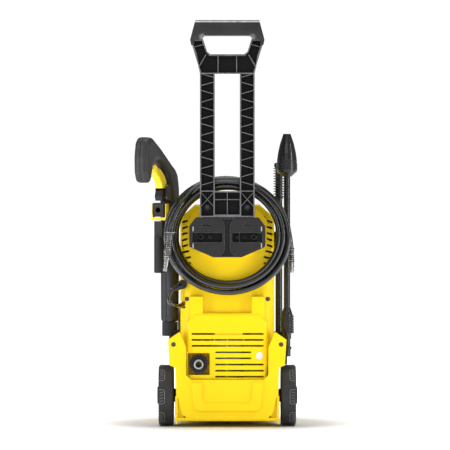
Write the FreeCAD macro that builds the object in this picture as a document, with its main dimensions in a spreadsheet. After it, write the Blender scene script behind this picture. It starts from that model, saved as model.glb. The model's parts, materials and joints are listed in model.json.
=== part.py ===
import FreeCAD, Part
import math
import os
import re
import Sketcher

# Upright two-wheeled pressure washer: yellow casings round a vertical motor and pump, a ribbed pull handle,
# a hook plate with the coiled high-pressure hose, a parked gun and two parked lances.
#
# Millimetres, +Z up. The machine's own middle plane is x = 0 while it is built and its rear faces -Y. Every
# piece is then moved by (origin_x, origin_y), so that the origin is the bottom centre of the whole object.

V = FreeCAD.Vector

DIMENSIONS = {
    # frame of the finished part
    "origin_x": 21.2,
    "origin_y": 16.0,
    # column casings
    "wall": 3,
    "column_half": 91,
    "column_rear": -95,
    "column_front": 95,
    "column_floor": 95,
    "column_shoulder": 404,
    "column_crown": 62,
    "column_top": 430,
    "column_round": 24,
    "nose_round": 36,
    "top_round": 9,
    "slot_half": 1.6,
    "vent_half": 2,
    "vent_rise": 3.4,
    "vent_pitch": 11.7,
    "vent_top": 395,
    "drum_radius": 86,
    "drum_rise": 4,
    "ring_z": 369,
    "hub_half": 50,
    "hub_low": 335,
    "hub_bend": 425,
    "hub_top": 448,
    "hub_crown": 34,
    # slotted rear panel
    "panel_half": 78,
    "panel_low": 92,
    "panel_bend": 204,
    "panel_top": 221,
    "panel_crown": 64,
    "panel_rear": -110,
    "recess_x": -55,
    "recess_z": 122,
    "recess_half": 21,
    "recess_back": -82,
    # base
    "base_half": 100,
    "base_foot_half": 97,
    "base_waist_half": 98,
    "base_waist": 52,
    "base_low": 12,
    "base_top": 119.5,
    "base_rear": -118,
    "base_front": 118,
    "base_round": 6,
    "ear_half": 114,
    "ear_peak": 92,
    "ear_peak_z": 184,
    "ear_edge_z": 169,
    "panel_gap": 79,
    "frame_rise": 4,
    "skirt_low": 6.5,
    "corner_depth": 6,
    # screws
    "screw_sink": 4.5,
    "screw_head": 4.2,
    "screw_depth": 8,
    # wheels
    "axle_y": -55,
    "axle_z": 59,
    "axle_radius": 5,
    "axle_end": 132,
    "wheel_radius": 59,
    "wheel_inner": 104,
    "wheel_width": 29,
    "wheel_bore": 5.05,
    "cap_radius": 17,
    # hook plate and handle
    "plate_rear": -150,
    "plate_front": -131,
    "plate_half": 73,
    "plate_low": 328,
    "plate_low_half": 27,
    "plate_side_low": 348,
    "plate_side_high": 388,
    "plate_crown": 60,
    "plate_top": 404.7,
    "handle_rear": -152,
    "leg_outer": 52.5,
    "leg_inner": 24,
    "leg_wall": 2.5,
    "bracket_low": 405,
    "bracket_top": 455,
    "legs_top": 680,
    "ring_wide": 71,
    "ring_wide_z": 746,
    "total_height": 783,
    "ring_top_half": 60,
    "hand_low": 717,
    "hand_high": 753,
    "hand_low_half": 38.5,
    "hand_high_half": 46.7,
    "rib": 1.6,
    "rib_rise": 7.5,
    "rib_pitch": 15.9,
    # hose store
    "hose_radius": 5,
    "coil_rear": -128,
    "coil_front": -100,
    "coil_half_x": 127,
    "coil_half_z": 119,
    "coil_hole_x": 91,
    "coil_hole_z": 88,
    "coil_round": 7,
    # mains cord
    "cord_radius": 3.5,
    "gland_x": -87,
    "gland_z": 275,
    "gland_radius": 9,
    "groove_low": 229,
    "groove_high": 243,
    "groove_depth": 10,
    "wound_x": 0,
    "wound_y": 190,
    "wound_outer": 57,
    "wound_inner": 27,
    "wound_height": 28,
    # gun
    "gun_x": -112,
    "gun_y": -40,
    "gun_turn": 26,
    "gun_half": 15,
    "cheek_inner": 9.2,
    "cheek_outer": 12.2,
    "pin_radius": 1.5,
    "trigger_half": 8.5,
    "gun_lift": 174,
    "socket_bore": 10,
    "hose_port": 5.3,
    # lances
    "lance_x": 116,
    "lance_y": -62,
    "tube_radius": 6.25,
    "second_x": 101,
    "second_y": -24,
    "second_radius": 6.75,
    # drive
    "motor_z": 222,
    "motor_height": 78,
    "stator_radius": 54,
    "rotor_radius": 29,
    "air_gap": 0.6,
    "shaft_radius": 5,
    "pump_half": 32,
    "pump_low": 118,
    "pump_high": 166,
    "gearbox_radius": 44,
    "gearbox_high": 214,
    "piston_ring": 19,
    "piston_radius": 5,
    # controls and water fittings
    "knob_z": 330,
    "knob_radius": 27,
    "knob_front": 118,
    "outlet_x": 42,
    "outlet_z": 142,
    "outlet_bore": 5.5,
    "inlet_nipple": 9.5,
    "inlet_spout": 9,
    "inlet_tip": -132,
}

doc = FreeCAD.newDocument("pressure_washer")
sheet = doc.addObject("Spreadsheet::Sheet", "dims")
for row, (alias, value) in enumerate(DIMENSIONS.items(), start=1):
    sheet.set(f"A{row}", alias)
    sheet.set(f"B{row}", str(value))
    sheet.setAlias(f"B{row}", alias)
doc.recompute()

D = {alias: float(sheet.get(alias)) for alias in DIMENSIONS}
WORD = re.compile(r"[a-z][a-z0-9_]*")
PIECES = []
TURN = {
    "x": FreeCAD.Rotation(V(0, 1, 0), 90),
    "y": FreeCAD.Rotation(V(1, 0, 0), -90),
    "z": FreeCAD.Rotation(),
}


# ---------------------------------------------------------------- helpers

def scoped(expression):
    """The expression with every sheet alias written as a reference to the sheet."""
    return WORD.sub(lambda m: f"dims.{m[0]}" if m[0] in DIMENSIONS else m[0], str(expression))


def bind(thing, path, expression):
    thing.setExpression(path, scoped(expression))


def pair(side, near, far):
    """Low and high of a span from near to far on the +X side, or its mirror image."""
    return (f"{near}", f"{far}") if side > 0 else (f"-({far})", f"-({near})")


def box(x, y, z):
    """A block between pairs of expressions."""
    solid = doc.addObject("Part::Box", "block")
    for size, axis, (low, high) in zip(("Length", "Width", "Height"), "xyz", (x, y, z)):
        bind(solid, size, f"({high}) - ({low})")
        bind(solid, f"Placement.Base.{axis}", low)
    return solid


def rod(axis, centre, low, high, radius, end_radius=None):
    """A cylinder, or a cone with an end radius, along an axis. centre holds the other two coordinates."""
    solid = doc.addObject("Part::Cylinder" if end_radius is None else "Part::Cone", "rod")
    if end_radius is None:
        bind(solid, "Radius", radius)
    else:
        bind(solid, "Radius1", radius)
        bind(solid, "Radius2", end_radius)
    bind(solid, "Height", f"({high}) - ({low})")
    solid.Placement = FreeCAD.Placement(V(), TURN[axis])
    places = list(centre)
    for name in "xyz":
        bind(solid, f"Placement.Base.{name}", low if name == axis else places.pop(0))
    return solid


def tube(axis, centre, low, high, outer, inner):
    return cut(rod(axis, centre, low, high, outer), rod(axis, centre, low, high, inner))


def fuse(*solids):
    joined = doc.addObject("Part::MultiFuse", "joined")
    joined.Shapes = list(solids)
    joined.Refine = True
    return joined


def cut(solid, *tools):
    less = doc.addObject("Part::Cut", "less")
    less.Base = solid
    less.Tool = tools[0] if len(tools) == 1 else fuse(*tools)
    less.Refine = True
    return less


def gather(*solids):
    """Separate solids that share one node."""
    group = doc.addObject("Part::Compound", "group")
    group.Links = list(solids)
    return group


def straight_along(axis):
    """Chooses the straight edges that run along an axis."""
    want = {"x": V(1, 0, 0), "y": V(0, 1, 0), "z": V(0, 0, 1)}[axis]

    def choose(edge):
        way = edge.Vertexes[-1].Point - edge.Vertexes[0].Point
        straight = way.Length > 1 and isinstance(edge.Curve, Part.Line)
        return straight and way.normalize().cross(want).Length < 1e-6

    return choose


def on_level(axis, place):
    """Chooses the edges that lie at one coordinate."""
    low, high = axis.upper() + "Min", axis.upper() + "Max"

    def choose(edge):
        bounds = edge.BoundBox
        return abs(getattr(bounds, low) - place) < 0.01 and abs(getattr(bounds, high) - place) < 0.01

    return choose


def rounded(solid, radius, *choosers):
    """The solid with the chosen edges rounded. With no chooser, every edge."""
    doc.recompute()
    soft = doc.addObject("Part::Fillet", "soft")
    soft.Base = solid
    numbers = [
        number
        for number, edge in enumerate(solid.Shape.Edges, start=1)
        if not choosers or any(choose(edge) for choose in choosers)
    ]
    soft.Edges = [(number, radius, radius) for number in numbers]
    return soft


def new_body(name):
    return doc.addObject("PartDesign::Body", name)


def outline_sketch(body, plane, offset, outlines):
    """A sketch whose every corner, centre and radius is held by a constraint bound to the sheet."""
    sketch = body.newObject("Sketcher::SketchObject", "outline")
    origin_planes = {feature.Role: feature for feature in body.Origin.OriginFeatures}
    sketch.AttachmentSupport = [(origin_planes[plane + "_Plane"], "")]
    sketch.MapMode = "FlatFace"
    bind(sketch, ".AttachmentOffset.Base.z", offset)
    holds = []
    for outline in outlines:
        first = sketch.GeometryCount
        if outline[0] == "circle":
            sketch.addGeometry(Part.Circle(V(1, 1, 0), V(0, 0, 1), 1))
            _, across, up, radius = outline
            holds += [("DistanceX", first, 3, across, 1), ("DistanceY", first, 3, up, 1)]
            holds.append(("Radius", first, None, radius, 1))
            continue
        count = len(outline)
        start = [V(math.cos(math.tau * i / count), math.sin(math.tau * i / count), 0) for i in range(count)]
        for i in range(count):
            sketch.addGeometry(Part.LineSegment(start[i], start[(i + 1) % count]))
        for i in range(count):
            sketch.addConstraint(Sketcher.Constraint("Coincident", first + i, 2, first + (i + 1) % count, 1))
        for i, (across, up) in enumerate(outline):
            holds.append(("DistanceX", first + i, 1, across, start[i].x))
            holds.append(("DistanceY", first + i, 1, up, start[i].y))
    for kind, geometry, point, expression, value in holds:
        if kind == "Radius":
            number = sketch.addConstraint(Sketcher.Constraint(kind, geometry, value))
        else:
            number = sketch.addConstraint(Sketcher.Constraint(kind, -1, 1, geometry, point, value))
        sketch.renameConstraint(number, f"hold{number}")
        bind(sketch, f"Constraints.hold{number}", expression)
    return sketch


def pad(body, plane, low, high, *outlines):
    """Material between two levels of the plane's own world axis."""
    offset = f"-({high})" if plane == "XZ" else low
    feature = body.newObject("PartDesign::Pad", "pad")
    feature.Profile = outline_sketch(body, plane, offset, outlines)
    bind(feature, "Length", f"({high}) - ({low})")
    doc.recompute()
    return feature


def pocket(body, plane, low, high, *outlines):
    """Takes material away between two levels of the plane's own world axis."""
    before = body.Shape.Volume
    offset = f"-({high})" if plane == "XZ" else low
    feature = body.newObject("PartDesign::Pocket", "pocket")
    feature.Profile = outline_sketch(body, plane, offset, outlines)
    feature.Reversed = True
    bind(feature, "Length", f"({high}) - ({low})")
    doc.recompute()
    if body.Shape.Volume > before - 1:
        raise RuntimeError(f"a pocket of {body.Label} cuts nothing")
    return feature


def turned(body, plane, outline, axis="V_Axis"):
    """A full revolution of an outline about a sketch axis."""
    feature = body.newObject("PartDesign::Revolution", "turned")
    sketch = outline_sketch(body, plane, "0", [outline])
    feature.Profile = sketch
    feature.ReferenceAxis = (sketch, [axis])
    feature.Angle = 360
    doc.recompute()
    return feature


def repeat(body, feature, sketch_axis, spacing, count):
    """A straight row of a feature, along an axis of its sketch."""
    row = body.newObject("PartDesign::LinearPattern", "row")
    row.Originals = [feature]
    row.Direction = (feature.Profile[0], [sketch_axis])
    bind(row, "Length", f"({spacing}) * {count - 1}")
    row.Occurrences = count
    body.Tip = row
    doc.recompute()
    return row


def repeat_round(body, feature, sketch_axis, count):
    """A ring of a feature about an axis of its sketch."""
    ring = body.newObject("PartDesign::PolarPattern", "ring")
    ring.Originals = [feature]
    ring.Axis = (feature.Profile[0], [sketch_axis])
    ring.Angle = 360
    ring.Occurrences = count
    body.Tip = ring
    doc.recompute()
    return ring


def soften(body, radius, *choosers):
    """Rounds the chosen edges of a body."""
    numbers = [
        f"Edge{number}"
        for number, edge in enumerate(body.Shape.Edges, start=1)
        if any(choose(edge) for choose in choosers)
    ]
    feature = body.newObject("PartDesign::Fillet", "soft_edges")
    feature.Base = (body.Tip if body.Tip != feature else feature.BaseFeature, numbers)
    feature.Radius = radius
    doc.recompute()
    return feature


def carve(body, core):
    """Takes another body's shape out of this one."""
    feature = body.newObject("PartDesign::Boolean", "carved")
    feature.Type = "Cut"
    feature.setObjects([core])
    doc.recompute()
    return feature


def piece(label, solid):
    """Names a finished sub-part and moves it from the machine's middle to the part's origin."""
    solid.Label = label
    bound = {path.lstrip("."): expression for path, expression in solid.ExpressionEngine}
    for axis in "xy":
        path = f"Placement.Base.{axis}"
        solid.setExpression(path, f"({bound.get(path, '0')}) + dims.origin_{axis}")
    PIECES.append(solid)
    return solid


def rectangle(left, right, low, high):
    return [(left, low), (right, low), (right, high), (left, high)]


def mirrored(outline):
    """The outline on the other side of the machine's middle."""
    return [(f"-({across})", up) for across, up in reversed(outline)]


# ---------------------------------------------------------------- casings

COLUMN = [
    ("-column_half", "column_floor"),
    ("column_half", "column_floor"),
    ("column_half", "column_shoulder"),
    ("column_crown", "column_top"),
    ("-column_crown", "column_top"),
    ("-column_half", "column_shoulder"),
]
CORE = [
    ("-column_half + wall", "column_floor - 1"),
    ("column_half - wall", "column_floor - 1"),
    ("column_half - wall", "column_shoulder - 1.5"),
    ("column_crown - 1.2", "column_top - wall"),
    ("-column_crown + 1.2", "column_top - wall"),
    ("-column_half + wall", "column_shoulder - 1.5"),
]
COVER_SCREWS = [(69, 404), (78, 247)]
EAR_SCREW = (103.5, 160)


def column_half_shell(label, rear, front, corner_round, crest_round):
    """One half of the column, outside rounded at its far end, hollow to the wall thickness."""
    far = D["column_rear"] if rear != "0" else D["column_front"]
    body, core = new_body(label), new_body(f"{label}_core")
    pad(body, "XZ", rear, front, COLUMN)
    if rear != "0":
        pad(core, "XZ", f"{rear} + wall", f"{front} + 1", CORE)
    else:
        pad(core, "XZ", f"{rear} - 1", f"{front} - wall", CORE)
    core_level = far - math.copysign(D["wall"], far)
    for solid, level, ease in ((body, far, 0), (core, core_level, D["wall"])):
        soften(solid, corner_round - ease, lambda e: straight_along("z")(e) and on_level("y", level)(e))
        soften(
            solid, crest_round - ease,
            lambda e: on_level("y", level)(e) and e.BoundBox.ZMin > D["column_shoulder"] - ease - 1,
        )
    carve(body, core)
    return body


def make_rear_cover():
    body = column_half_shell("rear_cover", "column_rear", "0", D["column_round"], D["top_round"])
    drum = ("circle", "0", "ring_z - 11", "drum_radius")
    pad(body, "XZ", "column_rear - drum_rise", "column_rear + 1", drum)
    hub = [
        ("-hub_half", "hub_low"), ("hub_half", "hub_low"), ("hub_half", "hub_bend"),
        ("hub_crown", "hub_top"), ("-hub_crown", "hub_top"), ("-hub_half", "hub_bend"),
    ]
    pad(body, "XZ", "plate_front", "column_rear", hub)
    panel = [
        ("-panel_half", "panel_low"), ("panel_half", "panel_low"), ("panel_half", "panel_bend"),
        ("panel_crown", "panel_top"), ("-panel_crown", "panel_top"), ("-panel_half", "panel_bend"),
    ]
    pad(body, "XZ", "panel_rear", "column_rear + 1", panel)
    soften(body, 7, lambda e: on_level("y", D["panel_rear"])(e) and e.BoundBox.ZMax > D["panel_bend"] - 1)
    lugs = [rectangle(*pair(side, "47", "72"), "panel_top - 9", "panel_top + 31") for side in (-1, 1)]
    pad(body, "XZ", "panel_rear + 2", "column_rear + 1", *lugs)
    inside = [
        ("-panel_half + wall", "panel_low + wall"), ("panel_half - wall", "panel_low + wall"),
        ("panel_half - wall", "panel_bend - 2"), ("panel_crown - 2", "panel_top - 9"),
        ("-panel_crown + 2", "panel_top - 9"), ("-panel_half + wall", "panel_bend - 2"),
    ]
    pocket(body, "XZ", "panel_rear + wall", "column_rear + wall", inside)
    slots = [(-68.5, 70, 180)]
    slots += [(-68.5, -25.2, 168.5), (-24, -0.3, 168.5), (0.9, 31, 168.5), (32.2, 70, 168.5)]
    slots += [(-68.5, -0.3, 157), (0.9, 70, 157)]
    slots += [(-23, 46, z) for z in (144.5, 133)]
    slots += [(left, right, z) for z in (121, 109, 97.5) for left, right in ((-23, -1.6), (-0.4, 70))]
    pocket(
        body, "XZ", "panel_rear - 1", "column_rear + 4",
        *[rectangle(left, right, f"{z} - slot_half", f"{z} + slot_half") for left, right, z in slots],
    )
    backing = rectangle(-24, 30, 175, 185)
    pad(body, "XZ", "panel_rear + wall - 0.5", "panel_rear + wall + 1", backing)
    vents = []
    for row, inner_end in enumerate((76.5, 76.5, 76.5, 76.5, 76, 73.8, 70.5, 70.5)):
        level = f"vent_top - {row} * vent_pitch"
        vent = [
            (inner_end, f"{level} + vent_rise - vent_half"), (87.4, f"{level} - vent_half"),
            (87.4, f"{level} + vent_half"), (inner_end, f"{level} + vent_rise + vent_half"),
        ]
        vents += [vent, mirrored(vent)]
    pocket(body, "XZ", "column_rear - drum_rise - 1", "column_rear + 34", *vents)
    wells = [rectangle(*pair(side, "51", "68"), "panel_top + 22", "panel_top + 32") for side in (-1, 1)]
    pocket(body, "XZ", "panel_rear + 5", "column_rear - 1.5", *wells)
    tray = rectangle(
        "recess_x - recess_half - 2", "recess_x + recess_half + 2",
        "recess_z - recess_half - 2", "recess_z + recess_half + 2",
    )
    hollow = rectangle(
        "recess_x - recess_half", "recess_x + recess_half", "recess_z - recess_half", "recess_z + recess_half"
    )
    pad(body, "XZ", "panel_rear + 1", "recess_back", tray)
    pocket(body, "XZ", "panel_rear - 1", "recess_back - 2", hollow)
    inlet_hole = ("circle", "recess_x", "recess_z", "inlet_nipple")
    pocket(body, "XZ", "recess_back - 3", "recess_back + 1", inlet_hole)
    bosses = []
    sinks = []
    for across, up in COVER_SCREWS:
        for side in (-1, 1):
            bosses.append(("circle", side * across, up, 7))
            sinks.append(("circle", side * across, up, "screw_sink"))
    pad(body, "XZ", "column_rear + 5", "column_rear + 16", *bosses)
    pocket(body, "XZ", "column_rear - 1", "column_rear + screw_depth", *sinks)
    groove = rectangle("column_rear - 1", "1", "groove_low", "groove_high")
    pad(body, "YZ", "-column_half + 1", "-column_half + groove_depth + wall", [
        ("column_rear + 17", "groove_low - wall"), ("0", "groove_low - wall"),
        ("0", "groove_high + wall"), ("column_rear + 17", "groove_high + wall"),
    ])
    pocket(body, "YZ", "-column_half - 1", "-column_half + groove_depth", groove)
    gland_hole = ("circle", "gland_x", "gland_z", "gland_radius")
    pocket(body, "XZ", "column_rear - 6", "column_rear + 24", gland_hole)
    return piece("rear_cover", body)


def make_front_cover():
    body = column_half_shell("front_cover", "0", "column_front", D["nose_round"], D["top_round"])
    pad(body, "XZ", "column_front - 1", "column_front + 5", ("circle", "0", "knob_z", "knob_radius + 8"))
    pocket(body, "XZ", "column_front - 5", "column_front + 6", ("circle", "0", "knob_z", "4.1"))
    pocket(body, "XZ", "column_front - 5", "column_front + 6", ("circle", "outlet_x", "outlet_z", 11))
    grille = [rectangle(-42, 42, f"{z} - slot_half", f"{z} + slot_half") for z in range(186, 262, 12)]
    pocket(body, "XZ", "column_front - 5", "column_front + 1", *grille)
    pad(body, "YZ", "-column_half + 1", "-column_half + groove_depth + wall", rectangle(
        "0", "column_front - 22", "groove_low - wall", "groove_high + wall"
    ))
    pocket(body, "YZ", "-column_half - 1", "-column_half + groove_depth", rectangle(
        "-1", "column_front + 1", "groove_low", "groove_high"
    ))
    return piece("front_cover", body)


def make_base_shell():
    body = new_body("base_shell")
    lower = [
        ("-base_foot_half", "base_low"), ("base_foot_half", "base_low"),
        ("base_waist_half", "base_waist"), ("base_half", "base_top"),
        ("-base_half", "base_top"), ("-base_waist_half", "base_waist"),
    ]
    pad(body, "XZ", "base_rear", "base_front", lower)
    soften(body, D["base_round"], on_level("y", D["base_front"]), on_level("z", D["base_low"]))
    hollow = [
        ("-base_foot_half + 5 * wall", "base_low + wall"), ("base_foot_half - 5 * wall", "base_low + wall"),
        ("base_waist_half - 2 * wall", "base_waist"), ("base_half - wall", "base_top - wall"),
        ("-base_half + wall", "base_top - wall"), ("-base_waist_half + 2 * wall", "base_waist"),
    ]
    pocket(body, "XZ", "base_rear + wall", "base_front - wall", hollow)
    opening = rectangle("-column_half", "column_half", "column_rear", "column_front")
    pocket(body, "XY", "base_top - wall - 1", "base_top + 1", opening)
    ear = [
        ("panel_gap", "base_top - 4"), ("base_half", "base_top - 4"), ("ear_half - 3", "base_top"),
        ("ear_half", "ear_edge_z"), ("ear_peak", "ear_peak_z"), ("panel_gap", "ear_peak_z - 30"),
    ]
    pad(body, "XZ", "base_rear", "column_rear", ear)
    pad(body, "XZ", "base_rear", "column_rear", mirrored(ear))
    notch = [
        ("-panel_gap", "base_top + 1"), ("-panel_gap", "panel_low + 9"), ("-panel_gap + 9", "panel_low"),
        ("panel_gap - 9", "panel_low"), ("panel_gap", "panel_low + 9"), ("panel_gap", "base_top + 1"),
    ]
    pocket(body, "XZ", "base_rear - 1", "column_rear + 0.5", notch)
    frame = [
        (-55, 31), (55, 31), (60, 32.5), (63.5, 37), (65, 44), (70, 88),
        (-70, 88), (-65, 44), (-63.5, 37), (-60, 32.5),
    ]
    pad(body, "XZ", "base_rear - frame_rise", "base_rear + 1", frame)
    middle = [
        (-41, 48), (41, 48), (45.5, 49.8), (47.5, 54), (47.5, 89), (-47.5, 89), (-47.5, 54), (-45.5, 49.8),
    ]
    pocket(body, "XZ", "base_rear - frame_rise - 1", "base_rear", middle)
    soften(body, 3, on_level("y", D["base_rear"] - D["frame_rise"]))
    corner = [(79, 18.6), (95, 18.6), (95.8, 58), (94.2, 56), (90.5, 36), (87, 26)]
    pocket(body, "XZ", "base_rear - 1", "base_rear + corner_depth", corner, mirrored(corner))
    skirt = [(96.6, "skirt_low"), (99.6, "skirt_low"), (100.2, 60), (97.2, 60)]
    pad(body, "XZ", "base_rear + 0.5", "base_rear + 13", skirt, mirrored(skirt))
    hub = ("circle", "axle_y", "axle_z", 13)
    pad(body, "YZ", "base_half - 16", "base_half", hub)
    pad(body, "YZ", "-base_half", "-base_half + 16", hub)
    pocket(body, "YZ", "-base_half - 1", "base_half + 1", ("circle", "axle_y", "axle_z", "axle_radius"))
    sinks = [("circle", side * EAR_SCREW[0], EAR_SCREW[1], "screw_sink") for side in (-1, 1)]
    pocket(body, "XZ", "base_rear - 1", "base_rear + screw_depth", *sinks)
    return piece("base_shell", body)


def make_base_tray():
    """The pan that the pump stands on, and its four pillars."""
    floor = ("base_low + wall", "base_low + wall + 4")
    pan = box(("-78", "78"), ("column_rear + 3", "column_front + 3"), floor)
    pillars = [
        rod("z", (across, along), "base_low + wall", "pump_low", 7)
        for across in (-24, 24) for along in (-24, 24)
    ]
    return piece("base_tray", fuse(pan, *pillars))


def make_feet():
    feet = []
    for side in (-1, 1):
        block = box(pair(side, "46", "76"), ("78", "108"), ("0", "base_low"))
        feet.append(rounded(block, 4, straight_along("z")))
    return piece("front_feet", gather(*feet))


def make_screws():
    screws = []
    for across, up in COVER_SCREWS:
        for side in (-1, 1):
            place = (side * across, up)
            screws.append(rod("y", place, "column_rear + 4", "column_rear + screw_depth", "screw_head"))
    for side in (-1, 1):
        place = (side * EAR_SCREW[0], EAR_SCREW[1])
        screws.append(rod("y", place, "base_rear + 4", "base_rear + screw_depth", "screw_head"))
        boss = (f"{side} * (leg_inner + leg_outer) / 2", "bracket_low + 19")
        screws.append(rod("y", boss, "plate_front - 9", "plate_front - 6", "3.8"))
    piece("screws", gather(*screws))


# ---------------------------------------------------------------- hook plate and handle

def make_hook_plate():
    body = new_body("hose_hook_plate")
    outline = [
        ("-plate_low_half", "plate_low"), ("plate_low_half", "plate_low"), ("plate_half", "plate_side_low"),
        ("plate_half", "plate_side_high"), ("plate_crown", "plate_top"), ("-plate_crown", "plate_top"),
        ("-plate_half", "plate_side_high"), ("-plate_half", "plate_side_low"),
    ]
    pad(body, "XZ", "plate_rear", "plate_front", outline)
    soften(body, 6, straight_along("y"))
    soften(body, 2, lambda e: on_level("y", D["plate_rear"])(e))
    recesses = [rectangle(-67, -9, 357, 375), rectangle(9, 67, 357, 375)]
    pocket(body, "XZ", "plate_rear - 1", "plate_rear + 13", *recesses)
    slits = [rectangle(-48, -31, 388.5, 391), rectangle(31, 48, 388.5, 391)]
    pocket(body, "XZ", "plate_rear - 1", "plate_rear + 6", *slits)
    valley = [
        (-15, "plate_low + 1.5"), (15, "plate_low + 1.5"), (8, 336), (5.5, 343), (5.5, 389), (8, 396),
        (14, "plate_top - 3"), (-14, "plate_top - 3"), (-8, 396), (-5.5, 389), (-5.5, 343), (-8, 336),
    ]
    pocket(body, "XZ", "plate_rear - 1", "plate_rear + 3", valley)
    landings = [rectangle(*pair(side, "57", "67.5"), 356.5, 375.5) for side in (-1, 1)]
    pad(body, "XZ", "plate_rear + 6", "plate_rear + 14", *landings)
    studs = [("circle", x, 367, 5.2) for x in (-51, 51)]
    small_studs = [("circle", x, 367, 3.2) for x in (-33, 33)]
    pad(body, "XZ", "plate_rear + 4", "plate_rear + 14", *studs, *small_studs)
    walls = [rectangle(x - 0.8, x + 0.8, 356.5, 375.5) for x in (-23, 23)]
    walls += [rectangle(*pair(side, "17.5", "22.5"), z, z + 1.3) for side in (-1, 1) for z in (363.6, 367.6)]
    pad(body, "XZ", "plate_rear + 3", "plate_rear + 14", *walls)
    holes = [("circle", x, 367, 3.6) for x in (-51, 51)] + [("circle", x, 367, 1.8) for x in (-33, 33)]
    pocket(body, "XZ", "plate_rear + 2", "plate_rear + 12", *holes)
    return piece("hose_hook_plate", body)


RIBS_OF_A_KIND = 7


def make_handle():
    body = new_body("pull_handle")
    half = [
        ("leg_outer", "bracket_low"), ("leg_outer", "legs_top"), ("leg_outer + 3", "legs_top + 15"),
        ("ring_wide", "ring_wide_z"),
    ]
    outline = [(f"-({x})", z) for x, z in half] + list(reversed(half))
    pad(body, "XZ", "handle_rear", "plate_front", outline)
    soften(body, 9, lambda e: straight_along("y")(e) and e.BoundBox.ZMin > D["legs_top"] + 5)
    soften(body, 2.5, lambda e: straight_along("z")(e) and on_level("y", D["handle_rear"])(e))
    gap = rectangle("-leg_inner", "leg_inner", "bracket_top", "legs_top")
    hand = [
        ("-hand_low_half + 6", "hand_low"), ("hand_low_half - 6", "hand_low"),
        ("hand_low_half", "hand_low + 5"),
        ("hand_high_half", "ring_wide_z + 1"), ("-hand_high_half", "ring_wide_z + 1"),
        ("-hand_low_half", "hand_low + 5"),
    ]
    pocket(body, "XZ", "handle_rear - 1", "plate_front + 1", gap, hand)
    inner, outer = "leg_inner + leg_wall", "leg_outer - leg_wall"
    channels = []
    for side in (-1, 1):
        left, right = pair(side, inner, outer)
        channels.append(rectangle(left, right, "bracket_low + leg_wall", "bracket_top - 1"))
        channels.append(rectangle(left, right, "bracket_top + 1", "legs_top - 1"))
    channels.append([
        ("-leg_outer + 3", "legs_top + 1.5"), ("leg_outer - 3", "legs_top + 1.5"),
        ("leg_outer + 1.5", "legs_top + 15.5"), ("leg_outer + 6", "hand_low + 1"),
        ("ring_wide - 3.5", "ring_wide_z - 3"), ("hand_high_half + 2", "ring_wide_z - 3"),
        ("hand_low_half + 2", "hand_low + 4"), ("hand_low_half - 4", "hand_low - 3"),
        ("-hand_low_half + 4", "hand_low - 3"), ("-hand_low_half - 2", "hand_low + 4"),
        ("-hand_high_half - 2", "ring_wide_z - 3"), ("-ring_wide + 3.5", "ring_wide_z - 3"),
        ("-leg_outer - 6", "hand_low + 1"), ("-leg_outer - 1.5", "legs_top + 15.5"),
    ])
    channels.append(rectangle("-leg_inner", "leg_inner", "bracket_low + 5", "bracket_top - leg_wall"))
    pocket(body, "XZ", "handle_rear - 1", "plate_front - 4", *channels)
    floor, face = "plate_front - 5", "handle_rear + 1"
    start = "bracket_top + 10"
    for offset, at_inner, at_outer in ((0, "rib_rise", "0"), (1, "0", "rib_rise")):
        low = f"{start} + {offset} * rib_pitch"
        rib = [
            ("leg_inner + 1", f"{low} + {at_inner}"), ("leg_outer - 1", f"{low} + {at_outer}"),
            ("leg_outer - 1", f"{low} + {at_outer} + rib"), ("leg_inner + 1", f"{low} + {at_inner} + rib"),
        ]
        for outline in (rib, mirrored(rib)):
            strut = pad(body, "XZ", face, floor, outline)
            repeat(body, strut, "V_Axis", "2 * rib_pitch", RIBS_OF_A_KIND)
    boss_z, boss_x = "bracket_low + 19", "(leg_inner + leg_outer) / 2"
    bosses = [("circle", f"{side} * {boss_x}", boss_z, 6) for side in (-1, 1)]
    pad(body, "XZ", "handle_rear + 5", "plate_front - 3", *bosses)
    low_z, high_z = "bracket_low + 20", "bracket_top - 2"
    inward = [
        ("leg_inner + 1", low_z), ("leg_inner + 1 + rib", low_z),
        ("leg_outer - 1", high_z), ("leg_outer - 1 - rib", high_z),
    ]
    outward = [
        ("leg_outer - 1 - rib", low_z), ("leg_outer - 1", low_z),
        ("leg_inner + 1 + rib", high_z), ("leg_inner + 1", high_z),
    ]
    for diagonal in (inward, outward):
        pad(body, "XZ", "handle_rear + 1", "plate_front - 3", diagonal, mirrored(diagonal))
    pocket(
        body, "XZ", "handle_rear - 1", "plate_front - 6",
        *[("circle", f"{side} * {boss_x}", boss_z, 4) for side in (-1, 1)],
    )
    brace = [
        ("leg_outer + 2", "legs_top + 11"), ("leg_outer + 3.5", "legs_top + 12.5"),
        ("hand_low_half + 3", "hand_low"), ("hand_low_half + 1.5", "hand_low - 1.5"),
    ]
    arm_bar = [
        ("hand_low_half + 6", "hand_low + 18.5"), ("ring_wide - 5", "hand_low + 12.5"),
        ("ring_wide - 5", "hand_low + 14"), ("hand_low_half + 6", "hand_low + 20"),
    ]
    bars = [
        rectangle("-leg_inner - 1", "leg_inner + 1", "bracket_low + 33", "bracket_low + 33 + rib"),
        rectangle("-18.5", "-18.5 + rib", "legs_top + 1", "hand_low - 2"),
        rectangle("17", "17 + rib", "legs_top + 1", "hand_low - 2"),
        brace, mirrored(brace), arm_bar, mirrored(arm_bar),
    ]
    pad(body, "XZ", "handle_rear + 2", "plate_front - 3", *bars)
    upright = rectangle("-0.8", "0.8", "bracket_low + 4", "bracket_top - 2")
    pad(body, "XZ", "handle_rear + 3", "plate_front - 3", upright)
    return piece("pull_handle", body)


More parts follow.
